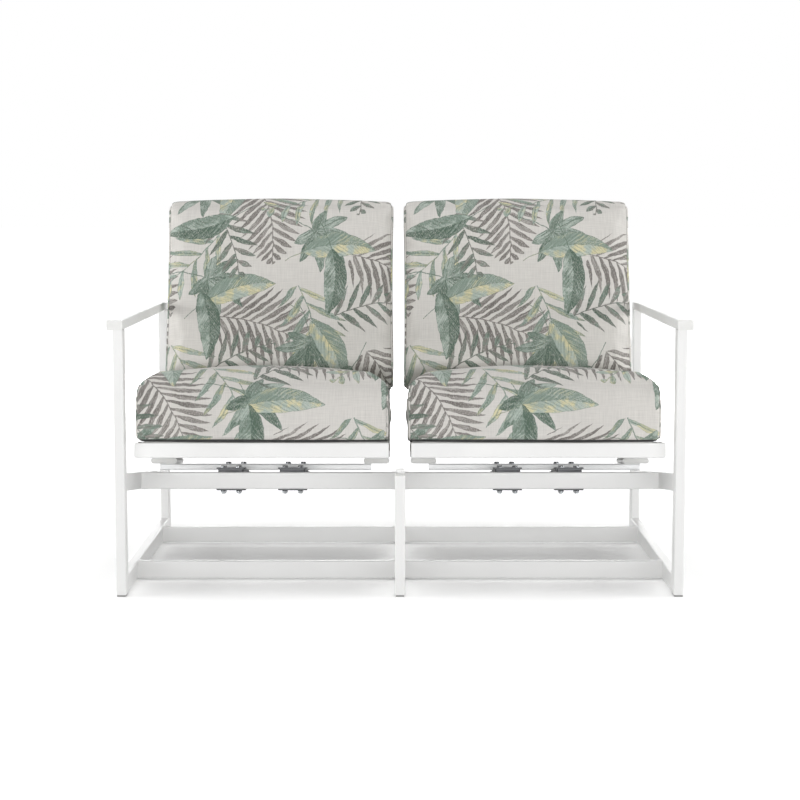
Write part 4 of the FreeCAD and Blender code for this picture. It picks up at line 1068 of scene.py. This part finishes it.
def painted(tree, under, leaf, dry, patch, colours):
    """Lays one layer of leaves over the colour under it: a light tone in two patchy tints, a dark one in
    strokes, dark ribs, a broken dark outline, and bare flecks where the brush ran dry."""
    inside, tone, ribs, brush = leaf
    light, tint, dark, line = (linear(text) for text in colours)
    stroke = add(tree, "Math", [tone, 0.22, brush], operation="MULTIPLY_ADD")
    stroke = add(tree, "MapRange", {"Value": stroke, "From Min": 0.46, "From Max": 0.74})
    pale = add(tree, "Mix", {0: patch, 6: light, 7: tint}, data_type="RGBA")
    fill = add(tree, "Mix", {0: stroke, 6: pale.outputs[2], 7: dark}, data_type="RGBA")
    edge = add(tree, "MapRange", {"Value": inside, "From Min": OUTLINE[0], "From Max": OUTLINE[1],
                                  "To Min": 0.8, "To Max": 0})
    broken = add(tree, "MapRange", {"Value": dry, "From Min": 0.35, "From Max": 0.55})
    mark = add(tree, "Math", [ribs, 0.5], operation="MULTIPLY")
    mark = add(tree, "Math", [mark, edge], operation="MAXIMUM")
    mark = add(tree, "Math", [mark, broken], operation="MULTIPLY")
    drawn = add(tree, "Mix", {0: mark, 6: fill.outputs[2], 7: line}, data_type="RGBA")
    cover = add(tree, "MapRange", {"Value": inside, "From Min": 0, "From Max": SOFT_EDGE})
    thin = add(tree, "MapRange", {"Value": dry, "From Min": 0.32, "From Max": 0.5,
                                  "To Min": 0.4, "To Max": 1})
    cover = add(tree, "Math", [cover, thin], operation="MULTIPLY")
    return add(tree, "Mix", {0: cover, 6: under, 7: drawn.outputs[2]}, data_type="RGBA").outputs[2]


def printed_linen(settings):
    """Slubby linen, printed in half-drop repeats of painted leaves: matte, with a soft nap. The weave is a
    warp and a weft of noise, drawn out along the threads. Painted shadow darkens a line along each seam,
    and a near-black band round the foot of a seat cushion."""
    material, tree, shader = start_material("printed_linen", {"Sheen Weight": 0.12})
    cloth = add(tree, "UVMap", uv_map="cloth").outputs[0]
    brush = (1 / settings.streak_width, 1 / settings.streak_length, 1)
    streaks = add(tree, "VectorMath", [cloth, brush], operation="MULTIPLY")
    dry = add(tree, "TexNoise", {"Vector": streaks, "Scale": 1, "Detail": 3, "Roughness": 0.7}).outputs[0]
    spots = {"Vector": cloth, "Scale": 1 / settings.patch, "Detail": 4, "Roughness": 0.6}
    patch = add(tree, "TexNoise", spots).outputs[0]
    patch = add(tree, "MapRange", {"Value": patch, "From Min": 0.46, "From Max": 0.56})
    umber, taupe, green, sage = settings.umber, settings.taupe, settings.green, settings.sage
    mint, straw, ground = settings.mint, settings.straw, settings.ground
    # From the lowest layer up: a leaf's kind, the shift and the size of its cells, its lean and how far that
    # varies, how far it strays in its cell, its own sizes, and its colours: light, patches, dark, lines
    layers = (
        (feather_leaf, (0.040, 0.110), (0.37, 0.35), 0.9, 0.7, 0.05, (0.31, 0.115, 0.024, 0.44, 0.95, 2.5),
         (taupe, settings.ash, umber, umber)),
        (feather_leaf, (0.250, 0.260), (0.34, 0.36), 1.9, 0.9, 0.10, (0.27, 0.095, 0.046, 0.30, 1.05, 3.0),
         (mint, straw, sage, green)),
        (spray, (0.190, 0.020), (0.30, 0.32), 1.3, 1.1, 0.10, (0.125, 0.016, 0.62, 3),
         (sage, mint, green, green)),
        (broad_leaf, (0.095, 0.060), (0.28, 0.31), 0.8, 1.4, 0.14, (0.20, 0.036),
         (mint, straw, sage, green)),
        (feather_leaf, (0.130, 0.215), (0.36, 0.33), 0.5, 1.2, 0.10, (0.20, 0.075, 0.036, 0.34, 0.8, 1.0),
         (taupe, sage, green, umber)),
        (broad_leaf, (0.215, 0.170), (0.35, 0.31), 2.3, 1.1, 0.14, (0.19, 0.032),
         (sage, mint, green, green)),
    )
    print_colour = linear(ground)
    for leaf, offset, pitch, lean, spread, wander, shape, colours in layers:
        along, across, chance = leaf_cells(tree, cloth, pitch, offset, lean, spread, wander)
        drawn = leaf(tree, along, across, chance, *shape)
        print_colour = painted(tree, print_colour, drawn, dry, patch, colours)

    fine, coarse = 1 / settings.weave, 1 / settings.slub
    warp = add(tree, "VectorMath", [cloth, (fine, coarse, 1)], operation="MULTIPLY")
    warp = add(tree, "TexNoise", {"Vector": warp, "Scale": 1, "Detail": 2})
    weft = add(tree, "VectorMath", [cloth, (coarse, fine, 1)], operation="MULTIPLY")
    weft = add(tree, "TexNoise", {"Vector": weft, "Scale": 1, "Detail": 2})
    slub = add(tree, "Math", [warp, weft], operation="ADD")
    thread = {"Value": slub, "From Min": 0.7, "From Max": 1.3}
    shade = add(tree, "MapRange", {**thread, "To Min": 0.9, "To Max": 1.06})
    # Painted shadow: the colour darkens by up to 0.55 in a line along each seam, as shade in the crease
    # between the panels
    seam = add(tree, "Attribute", attribute_name="seam").outputs["Fac"]
    seam = add(tree, "Math", [seam, 1 / settings.seam_shadow], operation="MULTIPLY")
    seam = add(tree, "Math", [seam, seam], operation="MULTIPLY")
    seam = add(tree, "Math", [seam, -1.0], operation="MULTIPLY")
    seam = add(tree, "Math", [seam], operation="EXPONENT")
    dark = add(tree, "Math", [seam, -0.55, 1.0], operation="MULTIPLY_ADD")
    shade = add(tree, "Math", [shade, dark], operation="MULTIPLY")
    woven = add(tree, "VectorMath", {0: print_colour, "Scale": shade}, operation="SCALE")
    # Painted shadow: near-black colour on a seat cushion up to the foot shadow edge above its foot, for the
    # shade under it
    under = add(tree, "Attribute", attribute_name="above_foot").outputs["Fac"]
    under = add(tree, "Math", [under, settings.foot_shadow_edge], operation="LESS_THAN")
    foot_shadowed = add(tree, "Mix", {0: under, 6: woven, 7: linear(settings.foot_shadow)}, data_type="RGBA")
    nap = add(tree, "MapRange", {**thread, "To Min": 0.94, "To Max": 0.82})
    bump = add(tree, "Bump", {"Strength": 0.35, "Distance": 0.0006, "Height": slub})
    dress(tree, shader, foot_shadowed.outputs[2], nap, bump)
    return material


# Where the covers are cut from the printed cloth, in metres
SEAT_CUT = (0.0, 0.0)
BACK_CUT = (0.17, 0.11)


class LOVESEAT_OT_cushions(bpy.types.Operator):
    """Blows up, seams and covers the seat and back cushions"""
    bl_idname = "loveseat.cushions"
    bl_label = "Make the cushions"

    def execute(self, context):
        settings = context.scene.loveseat_cushions
        material = printed_linen(settings)
        pitch, recline = context.scene.loveseat_springs.pitch, settings.recline

        low, high = sloped_box("left_seat_cushion", pitch)
        seat_size = high - low + (2 * settings.side_proud, 0, 0)
        seat_place = (low[0] + high[0]) / 2, low[1], low[2]
        seat, mesh = cushion_mesh("seat", seat_size, settings.seat_corners, settings.seat_crown,
                                  0, 0, settings)
        for side in SIDES:
            low, high = sloped_box(f"{side}_seat_cushion", pitch)
            place = seat + ((low[0] + high[0]) / 2, low[1], low[2])
            self.put_cushion(side, "seat", turned(place, -pitch), seat, mesh, SEAT_CUT, material)

        # A back cushion is made lying on its rear face, so its Y and Z change places
        low, high = sloped_box("left_back_cushion", recline)
        size = high - low + (2 * settings.side_proud, 0, settings.top_proud)
        back, mesh = cushion_mesh("back", size[[0, 2, 1]], settings.back_corners, settings.back_crown,
                                  settings.arch, settings.ear, settings)
        feet = back[:, [0, 2, 1]] * (1, -1, 0) + ((low[0] + high[0]) / 2, high[1], low[2])
        feet = turned(turned(feet, -recline), pitch) - seat_place
        back = let_down(back, feet, seat, seat_size, settings)
        for side in SIDES:
            low, high = sloped_box(f"{side}_back_cushion", recline)
            place = back[:, [0, 2, 1]] * (1, -1, 1) + ((low[0] + high[0]) / 2, high[1], low[2])
            self.put_cushion(side, "back", turned(place, -recline), back, mesh, BACK_CUT, material)
        return {"FINISHED"}

    def put_cushion(self, side, kind, place, points, mesh, offset, material):
        """One cushion at its place, with its cloth laid on. The painted shadow round the foot goes only on a
        seat.
        """
        data = mesh.copy()
        data.name = f"{side}_{kind}_cushion_cover"
        write_points(data, points)
        lay_cloth(data, offset)
        # Only a seat takes the painted foot shadow, because a back's height is raised past its edge
        write_attribute(data, "above_foot", read_attribute(data, "high") + (kind != "seat"))
        write_points(data, place)
        data.materials.clear()
        data.materials.append(material)
        piece = bpy.data.objects.new(data.name, data)
        bpy.context.scene.collection.objects.link(piece)
        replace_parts(piece, f"{side}_{kind}_cushion")
        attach(piece, f"{side}_seat")


# Stage

# A lamp's name, the setting with its power, its place, and its width and height
LAMPS = (
    ("front_lamp", "front", (0, -5.6, 0.95), (6.0, 0.3)),
    ("rear_lamp", "rear", (0, 5.6, 1.2), (6.0, 0.8)),
    ("left_lamp", "side", (-4.7, -0.7, 0.75), (2.5, 0.9)),
    ("right_lamp", "side", (4.7, -0.7, 0.75), (2.5, 0.9)),
    ("top_lamp", "top", (0, 0.15, 4.4), (5.0, 4.0)),
)


def seen_rays(tree, kinds):
    """One for the kinds of ray that show a surface in the picture, and nil for those that only light."""
    path = add(tree, "LightPath")
    seen = path.outputs[kinds[0]]
    for kind in kinds[1:]:
        seen = add(tree, "Math", [seen, path.outputs[kind]], operation="MAXIMUM").outputs[0]
    return seen


def paper_floor(settings):
    """Matte paper that photographs as white and still takes a soft shadow."""
    material, tree, shader = start_material("white_paper", {"Roughness": 0.95, "Specular IOR Level": 0})
    place = add(tree, "TexCoord").outputs["Object"]
    away = add(tree, "VectorMath", [place], operation="LENGTH").outputs["Value"]
    bright = add(tree, "MapRange", {"Value": away, "From Min": settings.near, "From Max": settings.far,
                                    "To Min": settings.floor_near, "To Max": settings.floor_far})
    seen = seen_rays(tree, ("Is Camera Ray", "Is Glossy Ray"))
    tint = add(tree, "Mix", {0: seen, 6: linear(settings.floor), 7: bright}, data_type="RGBA")
    tree.links.new(tint.outputs[2], shader.inputs["Base Color"])
    return material


class LOVESEAT_OT_stage(bpy.types.Operator):
    """Makes the floor, the lights and the camera"""
    bl_idname = "loveseat.stage"
    bl_label = "Make the stage"

    def execute(self, context):
        settings = context.scene.loveseat_stage
        scene = context.scene
        reach = settings.reach
        corners = [(-reach, -reach, 0), (reach, -reach, 0), (reach, reach, 0), (-reach, reach, 0)]
        put_mesh("floor", corners, [[0, 1, 2, 3]], paper_floor(settings))

        world = bpy.data.worlds.new("studio")
        world.use_nodes = True
        tree = world.node_tree
        seen = seen_rays(tree, ("Is Camera Ray", "Is Glossy Ray", "Is Transmission Ray"))
        strength = add(tree, "MapRange", {"Value": seen, "To Min": settings.sky, "To Max": 1.0})
        tree.links.new(strength.outputs[0], tree.nodes["Background"].inputs["Strength"])
        tree.nodes["Background"].inputs["Color"].default_value = (1, 1, 1, 1)
        scene.world = world

        for name, power, place, size in LAMPS:
            data = bpy.data.lights.new(name, "AREA")
            data.shape = "RECTANGLE"
            data.energy = getattr(settings, power)
            data.size, data.size_y = size
            lamp = bpy.data.objects.new(name, data)
            lamp.location = place
            towards = Vector((0, 0, settings.aim)) - lamp.location
            lamp.rotation_euler = towards.to_track_quat("-Z", "Y").to_euler()
            lamp.visible_camera = False
            scene.collection.objects.link(lamp)

        data = bpy.data.cameras.new("camera")
        data.lens = settings.lens
        camera = bpy.data.objects.new("camera", data)
        camera.location = (0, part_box("left_front_leg")[0][1] - settings.distance, settings.height)
        camera.rotation_euler = (math.pi / 2 - settings.tilt, 0, 0)
        scene.collection.objects.link(camera)
        scene.camera = camera
        scene.view_settings.view_transform = "Standard"
        return {"FINISHED"}


class LOVESEAT_PT_panel(bpy.types.Panel):
    """Lists the steps that dress the loveseat"""
    bl_idname = "LOVESEAT_PT_panel"
    bl_label = "Loveseat"
    bl_space_type = "VIEW_3D"
    bl_region_type = "UI"
    bl_category = "Loveseat"

    def draw(self, context):
        for operator in OPERATORS:
            self.layout.operator(operator.bl_idname)


SETTINGS = {
    "loveseat_frame": LoveseatFrame,
    "loveseat_springs": LoveseatSprings,
    "loveseat_webbing": LoveseatWebbing,
    "loveseat_cushions": LoveseatCushions,
    "loveseat_stage": LoveseatStage,
}
OPERATORS = (
    LOVESEAT_OT_stage,
    LOVESEAT_OT_finish_frame,
    LOVESEAT_OT_leaf_springs,
    LOVESEAT_OT_bolts,
    LOVESEAT_OT_webbing,
    LOVESEAT_OT_cushions,
)


def register():
    """Makes the settings, the steps and the panel known to Blender."""
    for group in (*SETTINGS.values(), *OPERATORS, LOVESEAT_PT_panel):
        bpy.utils.register_class(group)
    for name, group in SETTINGS.items():
        setattr(bpy.types.Scene, name, PointerProperty(type=group))


def unregister():
    """Takes them away again."""
    for name in SETTINGS:
        delattr(bpy.types.Scene, name)
    for group in (LOVESEAT_PT_panel, *reversed(OPERATORS), *SETTINGS.values()):
        bpy.utils.unregister_class(group)


def main():
    """Runs every step."""
    register()
    bpy.ops.loveseat.stage()
    bpy.ops.loveseat.finish_frame()
    bpy.ops.loveseat.leaf_springs()
    bpy.ops.loveseat.bolts()
    bpy.ops.loveseat.webbing()
    bpy.ops.loveseat.cushions()


if __name__ == "__main__":
    main()
